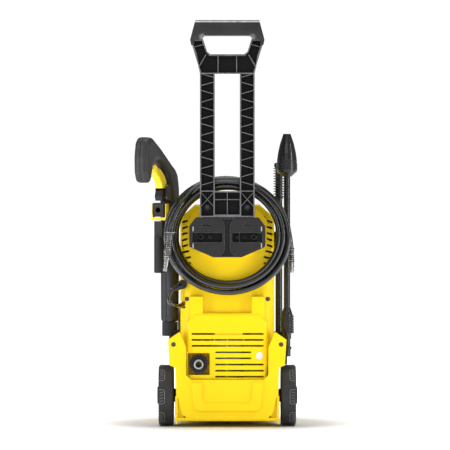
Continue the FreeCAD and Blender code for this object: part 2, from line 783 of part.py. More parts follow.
def make_handle_grip():
    body = new_body("handle_grip")
    seat = "ring_wide_z + 0.2"
    outline = [
        ("-ring_wide", seat), ("-hand_high_half", seat), ("-hand_high_half + 1", "hand_high"),
        ("hand_high_half - 1", "hand_high"), ("hand_high_half", seat), ("ring_wide", seat),
        ("ring_top_half", "total_height"), ("-ring_top_half", "total_height"),
    ]
    pad(body, "XZ", "handle_rear - 3", "plate_front + 5", outline)
    soften(body, 8, lambda e: straight_along("y")(e) and e.BoundBox.ZMin > D["total_height"] - 1)
    rear, front = D["handle_rear"] - 3, D["plate_front"] + 5
    soften(body, 6, lambda e: (on_level("y", rear)(e) or on_level("y", front)(e))
           and e.BoundBox.ZMax > D["hand_high"] + 2)
    return piece("handle_grip", body)


# ---------------------------------------------------------------- wheels

def make_axle():
    return piece("axle", rod("x", ("axle_y", "axle_z"), "-axle_end", "axle_end", "axle_radius"))


def make_wheel(name, side):
    """Rim, web and hub as one turned profile, with the cap pressed over the axle's end."""
    body = new_body(name)
    inner, outer = "wheel_inner", "wheel_inner + wheel_width"
    profile = [
        (inner, "wheel_bore"), (inner, 15), (f"{inner} + 8", 15), (f"{inner} + 8", "wheel_radius - 10"),
        (inner, "wheel_radius - 8"), (inner, "wheel_radius - 3"), (f"{inner} + 3", "wheel_radius"),
        (f"{outer} - 3", "wheel_radius"), (outer, "wheel_radius - 3"), (outer, "wheel_radius - 9"),
        (f"{inner} + 13", "wheel_radius - 12"), (f"{inner} + 13", 20), (outer, 18), (outer, "wheel_bore"),
    ]
    if side < 0:
        profile = mirrored(profile)
    turned(body, "XZ", profile, "H_Axis")
    bind(body, "Placement.Base.y", "axle_y")
    bind(body, "Placement.Base.z", "axle_z")
    return piece(name, body)


def make_wheel_trim():
    for name, side in (("hub_cap_left", -1), ("hub_cap_right", 1)):
        low, high = pair(side, "wheel_inner + wheel_width", "wheel_inner + wheel_width + 3")
        cap = rod("x", ("axle_y", "axle_z"), low, high, "cap_radius")
        outer = (D["wheel_inner"] + D["wheel_width"] + 3) * side
        piece(name, rounded(cap, 1.5, on_level("x", outer)))
    spacers = []
    for side in (-1, 1):
        low, high = pair(side, "base_half", "wheel_inner - 0.4")
        spacers.append(tube("x", ("axle_y", "axle_z"), low, high, "13", "axle_radius"))
    piece("wheel_spacers", gather(*spacers))


# ---------------------------------------------------------------- hose, cord

def bent_path(points, radii):
    """Straight runs joined by arcs tangent to both, as large as the shorter run allows."""
    places = [V(*point) for point in points]
    edges = []
    start = places[0]
    for before, corner, after in zip(places, places[1:], places[2:]):
        run_in, run_out = corner - before, after - corner
        turn = run_in.getAngle(run_out)
        setback = 0.45 * min(run_in.Length, run_out.Length)
        radii.append(setback / math.tan(turn / 2))
        way_in, way_out = V(run_in).normalize(), V(run_out).normalize()
        enter, leave = corner - way_in * setback, corner + way_out * setback
        towards = (way_out - way_in).normalize()
        centre = corner + towards * math.hypot(radii[-1], setback)
        middle = centre - towards * radii[-1]
        edges.append(Part.LineSegment(start, enter).toShape())
        edges.append(Part.Arc(enter, middle, leave).toShape())
        start = leave
    edges.append(Part.LineSegment(start, places[-1]).toShape())
    return Part.Wire(edges)


def cord_tube(label, points, radius):
    """A plain round cord along its route, checked against its section times its length."""
    radii = []
    path = bent_path(points, radii)
    way = V(*points[1]) - V(*points[0])
    section = Part.Wire([Part.Circle(V(*points[0]), way, radius).toShape()])
    swept = path.makePipeShell([section], True, False)
    expected = math.pi * radius ** 2 * path.Length
    print(f"{label}: length {path.Length:.0f} mm, tightest bend {min(radii):.0f} mm, "
          f"volume {swept.Volume / expected:.3f} of section x length, lowest {swept.BoundBox.ZMin:.1f}")
    feature = doc.addObject("Part::Feature", label)
    feature.Shape = swept
    feature.Placement = FreeCAD.Placement()
    return piece(label, feature)


HOSE_LEFT = [(-80, -127, 443), (-93, -135, 424), (-104, -142, 400), (-109.5, -146.5, 378)]
HOSE_RIGHT = [(106, -106, 413), (115, -99, 392), (121, -92.5, 368), (123.5, -89, 345)]
CORD_LEAD = [
    (-107, -101, 264), (-113, -103, 254), (-113.5, -104.5, 243), (-107, -102.5, 235.5), (-97.5, -95, 233.5),
    (-90, -80, 235), (-86.8, -60, 236.5), (-86.4, -30, 236), (-86.6, 5, 235.5), (-86.4, 40, 236),
    (-88, 72, 235), (-93, 96, 229), (-96, 114, 212), (-96, 124, 184), (-94, 128, 150), (-92, 129.5, 110),
    (-88, 130, 70), (-82, 133, 40), (-75, 139, 19), (-62, 147, 6.5), (-47, 148.5, 4.5), (-30, 144, 3.7),
]
CORD_TAIL = [(12, 243.5, 22.5), (-18, 245, 20.5), (-48, 243.5, 19)]


def make_hose_coil():
    """The wound hose as one closed ring with the outline of its turns."""
    rear, front = D["coil_rear"], D["coil_front"]
    centre = V(0, front, D["ring_z"])

    def oval(half_x, half_z):
        major, minor = max(half_x, half_z), min(half_x, half_z)
        curve = Part.Ellipse(centre + V(major, 0, 0), centre + V(0, 0, minor), centre)
        return Part.Face(Part.Wire([curve.toShape()])).extrude(V(0, rear - front, 0))

    ring = oval(D["coil_half_x"], D["coil_half_z"]).cut(oval(D["coil_hole_x"], D["coil_hole_z"]))
    ring = ring.makeFillet(D["coil_round"], [edge for edge in ring.Edges if edge.BoundBox.YLength < 0.01])
    feature = doc.addObject("Part::Feature", "hose_coil")
    feature.Shape = ring
    feature.Placement = FreeCAD.Placement()
    return piece("hose_coil", feature)


def along(start, end, sections):
    """Coaxial cylinders and cones end to end on a line: (length, radius, end radius)."""
    way = V(*end) - V(*start)
    turn = FreeCAD.Rotation(V(0, 0, 1), way)
    solids = []
    place = V(*start)
    step = V(way).normalize()
    for length, radius, end_radius in sections:
        solid = doc.addObject("Part::Cone" if radius != end_radius else "Part::Cylinder", "length")
        if radius != end_radius:
            bind(solid, "Radius1", radius)
            bind(solid, "Radius2", end_radius)
        else:
            bind(solid, "Radius", radius)
        bind(solid, "Height", length)
        solid.Placement = FreeCAD.Placement(place, turn)
        place = place + step * length
        solids.append(solid)
    return solids


def make_hose_ends():
    """Bend protectors and plugs on both ends of the hose."""
    sleeves = []
    plugs = []
    long_sleeve = [(3, 12, 12)] + [(2.6, 7.2, 7.2), (1.6, 6.2, 6.2)] * 8 + [(14, 7.6, 6)]
    short_sleeve = [(2, 6.5, 6.5)] + [(2.2, 5.6, 5.6), (1.4, 4.9, 4.9)] * 5 + [(8, 5.6, 5.6)]
    tip = [(3, 3.9, 3.9), (6, 4.9, 4.4)]
    ends = (
        (HOSE_LEFT[-1], V(-0.13, 0.05, -1), long_sleeve, [(4, 6.4, 6.4), (14, 4.9, 4.9)] + tip),
        (HOSE_RIGHT[-1], V(0.03, 0.03, -1), short_sleeve, [(10, 4.9, 4.9)] + tip),
    )
    for top, way, sleeve, plug in ends:
        way = way.normalize()
        start = V(*top)
        tip = start + way * sum(length for length, _, _ in sleeve)
        sleeves.append(fuse(*along(start, start + way, sleeve)))
        plugs.append(fuse(*along(tip, tip + way, plug)))
    piece("hose_bend_sleeves", gather(*sleeves))
    piece("hose_plugs", gather(*plugs))


def make_cable_gland():
    """The bush in the casing's corner and the tapered boot that turns the cord down."""
    elbow = rod("y", ("gland_x", "gland_z"), "column_rear - 4.5", "column_rear + 19", "gland_radius - 0.02")
    start = V(D["gland_x"], D["column_rear"] + 3.5, D["gland_z"])
    end = V(*CORD_LEAD[0])
    root = 10
    boot = along(start, end, [(root, 7.6, 7), ((end - start).Length - root, 7, 4.6)])
    return piece("cable_gland", fuse(elbow, *boot))


def make_cord_end():
    ring = tube("z", ("wound_x", "wound_y"), "0", "wound_height", "wound_outer", "wound_inner")
    piece("mains_cord_coil", rounded(ring, 6))
    start = V(*CORD_TAIL[-1])
    way = V(-1, 0, 0)
    shell_parts = along(start, start + way, [(20, 4.2, 6.5), (6, 9, 15), (22, 18.5, 18.5), (10, 18.5, 17)])
    tip = start + way * 57
    pins = []
    for offset in (-9.5, 9.5):
        pins += along(tip + V(0, offset, 0), tip + V(19, offset, 0), [(17, 2.4, 2.4), (2, 2.4, 1.4)])
    piece("mains_plug", fuse(*shell_parts, *pins))


# ---------------------------------------------------------------- gun

GUN_OUTLINE = [
    (-15, 201), (-17, 300), (-18, 400), (-17, 462), (-11, 488), (0, 500), (14, 508), (34, 521), (60, 538),
    (96, 558), (112, 559), (122, 548), (127, 520), (126, 490), (119, 472), (108, 470), (101, 480),
    (94, 504), (84, 512), (70, 514), (50, 505), (34, 490), (24, 470), (19, 450), (18, 436), (17, 398),
    (15, 201),
]


GUN_CHEEK = [(14, 436), (40, 436), (42, 446), (40, 462), (36, 471), (14, 471)]
TRIGGER = [
    (26, 461), (47, 461), (49, 471), (58, 481), (71, 490), (86, 497),
    (84, 505), (76, 507), (66, 502), (52, 497), (38, 487), (29, 475),
]
TRIGGER_LOCK = [(32, 437), (47, 437), (50, 446), (46, 457), (34, 457)]
GUN_PIVOTS = {"trigger": (35, 466), "trigger_lock": (38, 443)}


def gun_placed(solid):
    """Turns a piece made in the gun's own frame, barrel on the z axis, to where the gun is parked."""
    turn = FreeCAD.Rotation(V(0, 0, 1), -90 - D["gun_turn"])
    solid.Placement = FreeCAD.Placement(V(D["gun_x"], D["gun_y"], 0), turn)
    return solid


def make_gun():
    """Two moulded halves, split on the gun's middle plane, and what they hold."""
    for name, side in (("gun_shell_left", 1), ("gun_shell_right", -1)):
        body = new_body(name)
        pad(body, "XZ", *pair(side, "0", "gun_half"), GUN_OUTLINE)
        soften(body, 8, on_level("y", side * D["gun_half"]))
        pad(body, "XZ", *pair(side, "cheek_inner", "cheek_outer"), GUN_CHEEK)
        pocket(body, "XZ", *pair(side, "-1", "6.1"), rectangle("-6.1", "6.1", 200, 441))
        holes = [("circle", across, up, "pin_radius") for across, up in GUN_PIVOTS.values()]
        pocket(body, "XZ", *pair(side, "cheek_inner - 1", "cheek_outer + 1"), *holes)
        gun_piece(name, body)
    muzzle = new_body("socket_ring")
    pad(muzzle, "XY", "gun_lift", "201", ("circle", 0, 0, 15))
    pocket(muzzle, "XY", "gun_lift - 1", "gun_lift + 22", ("circle", 0, 0, "socket_bore"))
    soften(muzzle, 1.2, on_level("z", D["gun_lift"]))
    coupling = new_body("gun_quick_connect")
    pad(coupling, "XZ", "-13", "13", [(16, 406), (48, 406), (51, 410), (51, 431), (48, 433), (16, 433)])
    soften(coupling, 2.5, on_level("y", 13), on_level("y", -13))
    pocket(coupling, "YZ", "23", "53", ("circle", 0, 419, "hose_port"))
    gun_piece("gun_quick_connect", coupling)
    clamp = new_body("hose_clamp")
    pad(clamp, "XZ", "-16", "16", [(37, 399), (47, 399), (47, 431), (37, 431)])
    pocket(clamp, "XZ", "-13.4", "13.4", [(36, 404.6), (48, 404.6), (48, 432), (36, 432)])
    gun_piece("hose_clamp", clamp)
    sleeve = new_body("gun_front_grip")
    pad(sleeve, "XY", "297", "367", ("circle", 44, 0, 10.5))
    pad(sleeve, "XZ", "-5", "5", [(14, 312), (40, 312), (40, 356), (14, 356)])
    pad(sleeve, "XZ", "-8.5", "8.5", [(36, 366), (50, 366), (50, 397.5), (15, 397.5), (15, 380)])
    soften(sleeve, 2.5, on_level("z", 297))
    gun_piece("gun_front_grip", sleeve)
    gun_piece("gun_socket", fuse(muzzle, rod("z", (0, 0), "200.5", "440", "6")))
    for name, outline in (("trigger", TRIGGER), ("trigger_lock", TRIGGER_LOCK)):
        body = new_body(name)
        half = D["trigger_half"]
        pad(body, "XZ", "-trigger_half", "trigger_half", outline)
        soften(body, 2.5, on_level("y", half), on_level("y", -half))
        pivot = GUN_PIVOTS[name]
        pocket(body, "XZ", "-trigger_half - 1", "trigger_half + 1", ("circle", *pivot, "pin_radius + 0.1"))
        gun_piece(name, body)
    span = ("-cheek_outer", "cheek_outer", "pin_radius - 0.02")
    pins = [rod("y", pivot, *span) for pivot in GUN_PIVOTS.values()]
    gun_piece("gun_pins", gather(*pins))


def gun_piece(label, solid):
    solid = gun_placed(solid)
    bind_place(solid)
    return piece(label, solid)


def bind_place(solid):
    """Keeps a gun piece's place bound to the sheet."""
    bind(solid, "Placement.Base.x", "gun_x")
    bind(solid, "Placement.Base.y", "gun_y")


# ---------------------------------------------------------------- lances and holders

def make_lances():
    """The rotor-jet lance with its cone, and the vario lance with its ribbed twist sleeve."""
    at = ("lance_x", "lance_y")
    stem = new_body("jet_lance_tube")
    turned(stem, "XZ", [
        (0, 135), (7.2, 135), (7.2, 148), (9, 149), (9, 153), (6.6, 154), (6.6, 168), (8.4, 169), (8.4, 176),
        (9.5, 180), (11.5, 184), (11.5, 216), ("tube_radius", 230), ("tube_radius", 484),
        (9, 484), (19, 493), (19.6, 497), (0, 497),
    ])
    teeth = [rectangle(9.8, 14, f"{z}", f"{z} + 2.6") for z in range(182, 220, 5)]
    pad(stem, "XZ", "-5", "5", [(8, 180), (13.4, 180), (12.4, 214), (8, 224)])
    pocket(stem, "XZ", "-6", "6", *teeth)
    hold_at(stem, at)
    piece("jet_lance_tube", stem)
    cone = new_body("jet_lance_cone")
    turned(cone, "XZ", [
        (0, 497.1), (20, 497.1), (20, 508), (19.3, 510), (19.3, 516), (17.5, 530), (13.5, 548),
        (9.5, 560), (7.2, 567), (3, 567), (3, 561), (0, 561),
    ])
    hold_at(cone, at)
    piece("jet_lance_cone", cone)
    at = ("second_x", "second_y")
    stem = new_body("vario_lance_tube")
    turned(stem, "XZ", [
        (0, 150), (6, 150), (6, 172), ("second_radius", 174), ("second_radius", 440),
        (5.8, 440), (5.8, 512), (0, 512),
    ])
    hold_at(stem, at)
    piece("vario_lance_tube", stem)
    sleeve = new_body("vario_sleeve")
    profile = [("5.85", 441), (8.2, 441)]
    for z in range(444, 500, 5):
        profile += [(8.2, z), (9.1, z), (9.1, z + 2.2), (8.2, z + 2.2)]
    profile += [(8.2, 503), (9.6, 504), (9.6, 508), (8.6, 511), ("5.85", 511)]
    turned(sleeve, "XZ", profile)
    hold_at(sleeve, at)
    piece("vario_sleeve", sleeve)


def hold_at(body, at):
    """Stands a turned piece on its parking place."""
    for name, place in zip("xy", at):
        bind(body, f"Placement.Base.{name}", place)


def make_holders():
    """Parking pockets behind the ears of the base, and the lance clips higher on the column."""
    deep = ("gun_y - 20", "gun_y + 20")
    cup = box(("-base_half - 13", "-column_half"), deep, ("base_top", "gun_lift + 12"))
    seat = rod("z", ("gun_x", "gun_y"), "gun_lift - 0.5", "gun_lift + 13", "15.4")
    piece("gun_holder", cut(rounded(cup, 3, straight_along("z")), seat))
    deep = ("second_y - 12", "second_y + 12")
    pocket_block = box(("column_half", "base_half + 12"), deep, ("base_top", "182"))
    shelf = box(("column_half", "base_half + 16"), ("lance_y - 11", "second_y - 11"), ("base_top", "134.8"))
    well = rod("z", ("second_x", "second_y"), "149.8", "183", "7.1")
    piece("lance_holder", cut(fuse(pocket_block, shelf), well))
    near = box(("column_half", "lance_x"), ("lance_y - 9", "lance_y + 9"), ("344", "377"))
    far = box(("column_half", "second_x + 1"), ("second_y - 10", "second_y + 10"), ("344", "377"))
    grips = [
        rod("z", ("lance_x", "lance_y"), "343", "378", "tube_radius + 0.35"),
        rod("z", ("second_x", "second_y"), "343", "378", "second_radius + 0.35"),
    ]
    web = box(("column_half", "column_half + 2.5"), ("lance_y", "second_y"), ("344", "377"))
    piece("lance_clips", cut(fuse(near, far, web), *grips))


# ---------------------------------------------------------------- water and power

def make_fittings():
    inlet = ("recess_x", "recess_z")
    thread = rod("y", inlet, "recess_back - 16", "column_rear + 75", "inlet_nipple - 0.02")
    nose = rod("y", inlet, "recess_back - 16", "recess_back - 15", "inlet_nipple - 0.02")
    piece("inlet_nipple", cut(fuse(thread, nose), rod("y", inlet, "-100", "column_rear + 76", "6")))
    nut = rounded(rod("y", inlet, "recess_back - 30", "recess_back - 16", "17"), 1.5)
    collar = rod("y", inlet, "recess_back - 38", "recess_back - 29", "14")
    spout = rod("y", inlet, "inlet_tip", "recess_back - 17", "inlet_spout")
    bore = rod("y", inlet, "inlet_tip - 1", "recess_back - 16", "4.5")
    piece("inlet_coupling", cut(fuse(nut, collar, spout), bore))
    outlet = ("outlet_x", "outlet_z")
    body = fuse(
        rod("y", outlet, "pump_half + 0.2", "column_front + 12", "10.9"),
        rod("y", outlet, "column_front", "column_front + 4", "15"),
    )
    piece("pressure_outlet", cut(body, rod("y", outlet, "60", "column_front + 13", "outlet_bore")))


def make_drive():
    """Vertical motor over an axial piston pump, with one straight shaft through both."""
    centre = (0, 0)
    top = "motor_z + motor_height"
    piece("motor_stator", tube("z", centre, "motor_z", top, "stator_radius", "rotor_radius + air_gap"))
    core = rod("z", centre, "motor_z + 4", f"{top} - 4", "rotor_radius")
    shaft = rod("z", centre, "pump_high + 32", f"{top} + 26", "shaft_radius")
    piece("motor_rotor", fuse(core, shaft))
    lower = tube("z", centre, "gearbox_high - 8", "gearbox_high", "shaft_radius + 9", "shaft_radius + 0.04")
    upper = tube("z", centre, f"{top} + 3", f"{top} + 11", "shaft_radius + 9", "shaft_radius + 0.04")
    piece("motor_bearings", gather(lower, upper))
    cap = cut(
        rod("z", centre, top, f"{top} + 11", "stator_radius"),
        rod("z", centre, f"{top} - 1", f"{top} + 12", "shaft_radius + 9"),
        tube("z", centre, f"{top} - 1", f"{top} + 5", "stator_radius - 3", "shaft_radius + 12"),
    )
    piece("motor_end_cap", cap)
    fan = new_body("cooling_fan")
    pad(fan, "XY", f"{top} + 14", f"{top} + 17", ("circle", 0, 0, 42))
    blade = pad(fan, "XY", f"{top} + 16", f"{top} + 26", [(12, -1), (40, -1), (40, 1), (12, 1)])
    repeat_round(fan, blade, "N_Axis", 9)
    pad(fan, "XY", f"{top} + 16", f"{top} + 26", ("circle", 0, 0, 9))
    pocket(fan, "XY", f"{top} + 13", f"{top} + 27", ("circle", 0, 0, "shaft_radius"))
    piece("cooling_fan", fan)
    shell_ring = tube("z", centre, "pump_high", "gearbox_high", "gearbox_radius", "gearbox_radius - 4")
    lid = tube("z", centre, "gearbox_high - 6", "gearbox_high", "gearbox_radius", "shaft_radius + 9")
    corners = [(across, along) for across in (-28.6, 28.6) for along in (-28.6, 28.6)]
    legs = [rod("z", corner, "gearbox_high", "motor_z", 4) for corner in corners]
    piece("pump_gearbox", fuse(shell_ring, lid, *legs))
    disc = cut(
        rod("z", centre, "pump_high + 32", "pump_high + 40", "30"),
        box(("-40", "40"), ("-40", "40"), ("pump_high + 20", "pump_high + 32")),
        rod("z", centre, "pump_high + 31", "pump_high + 41", "shaft_radius"),
    )
    piece("swash_plate", disc)
    block = box(("-pump_half", "pump_half"), ("-pump_half", "pump_half"), ("pump_low", "pump_high"))
    angles = [math.radians(a) for a in (90, 210, 330)]
    spots = [(f"piston_ring * {math.cos(a):.5f}", f"piston_ring * {math.sin(a):.5f}") for a in angles]
    wells = [rod("z", spot, "pump_high - 34", "pump_high + 1", "piston_radius + 0.03") for spot in spots]
    ports = [rod("y", ("outlet_x - 22", "outlet_z"), "pump_half - 20", "pump_half + 1", "4")]
    piece("pump_head", rounded_cut(block, wells + ports))
    pistons = [rod("z", spot, "pump_high - 30", "pump_high + 31.6", "piston_radius") for spot in spots]
    piece("pump_pistons", gather(*pistons))
    spring = ("pump_high + 0.2", "pump_high + 24", "piston_radius + 2.4", "piston_radius + 0.5")
    piece("piston_springs", gather(*[tube("z", spot, *spring) for spot in spots]))
    caps = [rod("x", (y, "pump_low + 18"), "pump_half + 0.05", "pump_half + 9", "7") for y in (-16, 0, 16)]
    piece("valve_caps", gather(*caps))
    piece("pressure_switch", fuse(
        rod("x", ("0", "pump_low + 34"), "-pump_half - 22", "-pump_half", "8"),
        box(("-pump_half - 40", "-pump_half - 20"), ("-11", "11"), ("pump_low + 20", "pump_low + 50")),
    ))
    can = rod("z", (-60, 52), "250", "310", "15")
    bracket = box(("-column_half + wall", "-74"), ("46", "58"), ("262", "274"))
    piece("motor_capacitor", fuse(can, bracket))


def rounded_cut(block, tools):
    return cut(rounded(block, 5, straight_along("z")), *tools)


def make_pipes():
    """Suction pipe from the inlet to the pump, and the elbow from the pump to the outlet."""
    suction = fuse(
        rod("y", ("recess_x", "recess_z"), "column_rear + 75.1", "0", "7"),
        rod("x", ("-6", "recess_z"), "recess_x", "-pump_half - 0.1", "6"),
    )
    elbow = fuse(
        rod("y", ("outlet_x - 22", "outlet_z"), "pump_half + 0.05", "pump_half + 10", "6"),
        rod("x", ("pump_half + 10", "outlet_z"), "outlet_x - 22", "outlet_x - 11", "6"),
    )
    piece("water_pipes", gather(suction, elbow))


def make_controls():
    knob = new_body("power_knob")
    pad(knob, "XZ", "column_front + 5.5", "knob_front", ("circle", 0, "knob_z", "knob_radius"))
    soften(knob, 3, on_level("y", D["knob_front"]))
    pad(knob, "XZ", "knob_front - 2", "knob_front + 8", [
        (-5, "knob_z - 24"), (5, "knob_z - 24"), (5, "knob_z + 24"), (-5, "knob_z + 24")])
    soften(knob, 2.5, on_level("y", D["knob_front"] + 8))
    pad(knob, "XZ", "70", "column_front + 6", ("circle", 0, "knob_z", "4.05"))
    piece("power_knob", knob)
    case = box(("-20", "20"), ("66", "column_front - wall"), ("knob_z - 22", "knob_z + 22"))
    hole = rod("y", ("0", "knob_z"), "65", "93", "4.1")
    piece("switch_box", cut(rounded(case, 2, straight_along("y")), hole))


# ---------------------------------------------------------------- everything

make_rear_cover()
make_front_cover()
make_base_shell()
make_base_tray()
make_feet()
make_screws()
make_hook_plate()
make_handle()
make_handle_grip()
make_axle()
make_wheel("wheel_left", -1)
make_wheel("wheel_right", 1)
make_wheel_trim()
make_hose_coil()
cord_tube("hose_tail_left", HOSE_LEFT, D["hose_radius"])
cord_tube("hose_tail_right", HOSE_RIGHT, D["hose_radius"])
make_hose_ends()
make_cable_gland()
cord_tube("mains_cord_lead", CORD_LEAD, D["cord_radius"])
cord_tube("mains_cord_tail", CORD_TAIL, D["cord_radius"])
make_cord_end()
make_gun()
make_lances()
make_holders()
make_fittings()
make_drive()
make_pipes()
make_controls()

doc.recompute()
os.makedirs("parts", exist_ok=True)
for thing in doc.Objects:
    if {"Invalid", "Error"} & set(thing.State):
        raise RuntimeError(f"{thing.Label} failed: {thing.State}")
for solid in PIECES:
    if solid.Shape.isNull() or not solid.Shape.isValid() or not solid.Shape.Solids:
        raise RuntimeError(f"{solid.Label} has no valid shape")
for solid in PIECES:
    solid.Shape.exportStep(f"parts/{solid.Label}.step")
print(len(PIECES), "pieces")
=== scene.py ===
import json
import math
import random

import bmesh
import bpy
from mathutils import Matrix, Vector


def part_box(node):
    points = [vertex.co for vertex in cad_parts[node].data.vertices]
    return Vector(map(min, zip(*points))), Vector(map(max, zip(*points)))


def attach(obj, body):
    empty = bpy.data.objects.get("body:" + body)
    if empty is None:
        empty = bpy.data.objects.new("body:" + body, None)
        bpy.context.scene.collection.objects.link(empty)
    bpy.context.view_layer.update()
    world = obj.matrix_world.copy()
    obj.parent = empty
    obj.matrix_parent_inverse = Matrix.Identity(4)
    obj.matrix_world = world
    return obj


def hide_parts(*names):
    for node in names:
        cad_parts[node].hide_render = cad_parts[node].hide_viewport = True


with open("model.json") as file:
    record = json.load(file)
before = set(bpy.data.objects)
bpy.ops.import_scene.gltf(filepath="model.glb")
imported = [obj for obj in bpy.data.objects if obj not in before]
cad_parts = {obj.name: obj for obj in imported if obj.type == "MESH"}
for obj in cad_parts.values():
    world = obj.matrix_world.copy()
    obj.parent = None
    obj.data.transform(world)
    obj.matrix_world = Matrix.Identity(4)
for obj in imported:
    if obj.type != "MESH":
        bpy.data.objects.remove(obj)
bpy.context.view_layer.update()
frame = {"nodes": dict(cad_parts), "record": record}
NODES = frame["nodes"]
SLOT_OF = {part["node"]: part["material_slot"] for part in frame["record"]["subparts"]}

MM = 0.001
MIDDLE_X = (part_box("pull_handle")[0].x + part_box("pull_handle")[1].x) / 2
SPLIT_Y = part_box("rear_cover")[1].y


def at(across, along, up):
    """A place in the machine's own millimetres, from its middle plane, its casing split and the floor."""
    return Vector((MIDDLE_X + across * MM, SPLIT_Y + along * MM, up * MM))


# ---------------------------------------------------------------- camera

CAMERA_PLACE = (-4.4, -6158, 390)  # far off, behind the machine, at half its height
CAMERA_LENS = 251


def make_camera():
    data = bpy.data.cameras.new("camera")
    data.lens = CAMERA_LENS
    data.sensor_width = 36
    data.clip_start = 0.05
    camera = bpy.data.objects.new("camera", data)
    camera.location = at(*CAMERA_PLACE)
    camera.rotation_euler = (math.pi / 2, 0, 0)
    bpy.context.scene.collection.objects.link(camera)
    bpy.context.scene.camera = camera


# ---------------------------------------------------------------- material helpers

class Shader:
    """A node material under construction, with short calls for the nodes it uses."""

    def __init__(self, name):
        self.material = bpy.data.materials.new(name)
        self.material.use_nodes = True
        self.tree = self.material.node_tree
        self.tree.nodes.clear()
        self.surface = self.tree.nodes.new("ShaderNodeBsdfPrincipled")
        output = self.tree.nodes.new("ShaderNodeOutputMaterial")
        self.link(self.surface.outputs[0], output.inputs["Surface"])
        self.place = self.tree.nodes.new("ShaderNodeTexCoord").outputs["Object"]

    def link(self, source, target):
        self.tree.links.new(source, target)

    def put(self, target, value):
        """Sets an input to a number or colour, or links a socket to it."""
        if isinstance(value, bpy.types.NodeSocket):
            self.link(value, target)
        elif isinstance(value, tuple) and len(value) == 3 and len(target.default_value) == 4:
            target.default_value = (*value, 1)
        else:
            target.default_value = value

    def set(self, **values):
        for name, value in values.items():
            self.put(self.surface.inputs[name.replace("_", " ")], value)

    def noise(self, scale, detail=3.0, rough=0.5, place=None):
        node = self.tree.nodes.new("ShaderNodeTexNoise")
        node.inputs["Scale"].default_value = scale
        node.inputs["Detail"].default_value = detail
        node.inputs["Roughness"].default_value = rough
        self.link(place or self.place, node.inputs["Vector"])
        return node.outputs["Fac"]

    def stretched(self, factors):
        node = self.tree.nodes.new("ShaderNodeMapping")
        node.inputs["Scale"].default_value = factors
        self.link(self.place, node.inputs["Vector"])
        return node.outputs["Vector"]

    def scaled(self, value, low, high, to_low, to_high, smooth=False):
        node = self.tree.nodes.new("ShaderNodeMapRange")
        node.interpolation_type = "SMOOTHSTEP" if smooth else "LINEAR"
        for name, number in (("From Min", low), ("From Max", high), ("To Min", to_low), ("To Max", to_high)):
            node.inputs[name].default_value = number
        self.link(value, node.inputs["Value"])
        return node.outputs["Result"]

    def blend(self, share, first, second):
        node = self.tree.nodes.new("ShaderNodeMix")
        node.data_type = "RGBA"
        sockets = [socket for socket in node.inputs if socket.enabled]
        self.put(sockets[0], share)
        self.put(sockets[1], first)
        self.put(sockets[2], second)
        return next(socket for socket in node.outputs if socket.enabled)

    def maths(self, operation, first, second=0.0, third=0.0):
        node = self.tree.nodes.new("ShaderNodeMath")
        node.operation = operation
        for socket, value in zip(node.inputs, (first, second, third)):
            self.put(socket, value)
        return node.outputs[0]

    def coordinate(self, axis):
        node = self.tree.nodes.new("ShaderNodeSeparateXYZ")
        self.link(self.place, node.inputs[0])
        return node.outputs["XYZ".index(axis)]

    def along(self, direction, origin):
        """Distance of each point from an origin, measured along a direction."""
        shift = self.tree.nodes.new("ShaderNodeVectorMath")
        shift.operation = "SUBTRACT"
        self.link(self.place, shift.inputs[0])
        shift.inputs[1].default_value = tuple(origin)
        node = self.tree.nodes.new("ShaderNodeVectorMath")
        node.operation = "DOT_PRODUCT"
        self.link(shift.outputs[0], node.inputs[0])
        node.inputs[1].default_value = tuple(direction)
        return node.outputs["Value"]

    def length_from(self, origin):
        """Distance of each point from a place."""
        node = self.tree.nodes.new("ShaderNodeVectorMath")
        node.operation = "DISTANCE"
        self.link(self.place, node.inputs[0])
        node.inputs[1].default_value = tuple(origin)
        return node.outputs["Value"]

    def edges(self, radius, low=0.02, high=0.2):
        """1 on sharp edges and 0 on flat faces. Also gives the softened normal."""
        soft = self.tree.nodes.new("ShaderNodeBevel")
        soft.samples = 4
        soft.inputs["Radius"].default_value = radius
        flat = self.tree.nodes.new("ShaderNodeNewGeometry")
        agree = self.tree.nodes.new("ShaderNodeVectorMath")
        agree.operation = "DOT_PRODUCT"
        self.link(soft.outputs[0], agree.inputs[0])
        self.link(flat.outputs["Normal"], agree.inputs[1])
        return self.scaled(agree.outputs["Value"], 1 - low, 1 - high, 0, 1), soft.outputs[0]

    def bump(self, height, strength, distance, normal=None):
        node = self.tree.nodes.new("ShaderNodeBump")
        node.inputs["Strength"].default_value = strength
        node.inputs["Distance"].default_value = distance
        self.link(height, node.inputs["Height"])
        if normal is not None:
            self.link(normal, node.inputs["Normal"])
        return node.outputs[0]


def tinted(colour, factor):
    return tuple(min(1.0, channel * factor) for channel in colour)


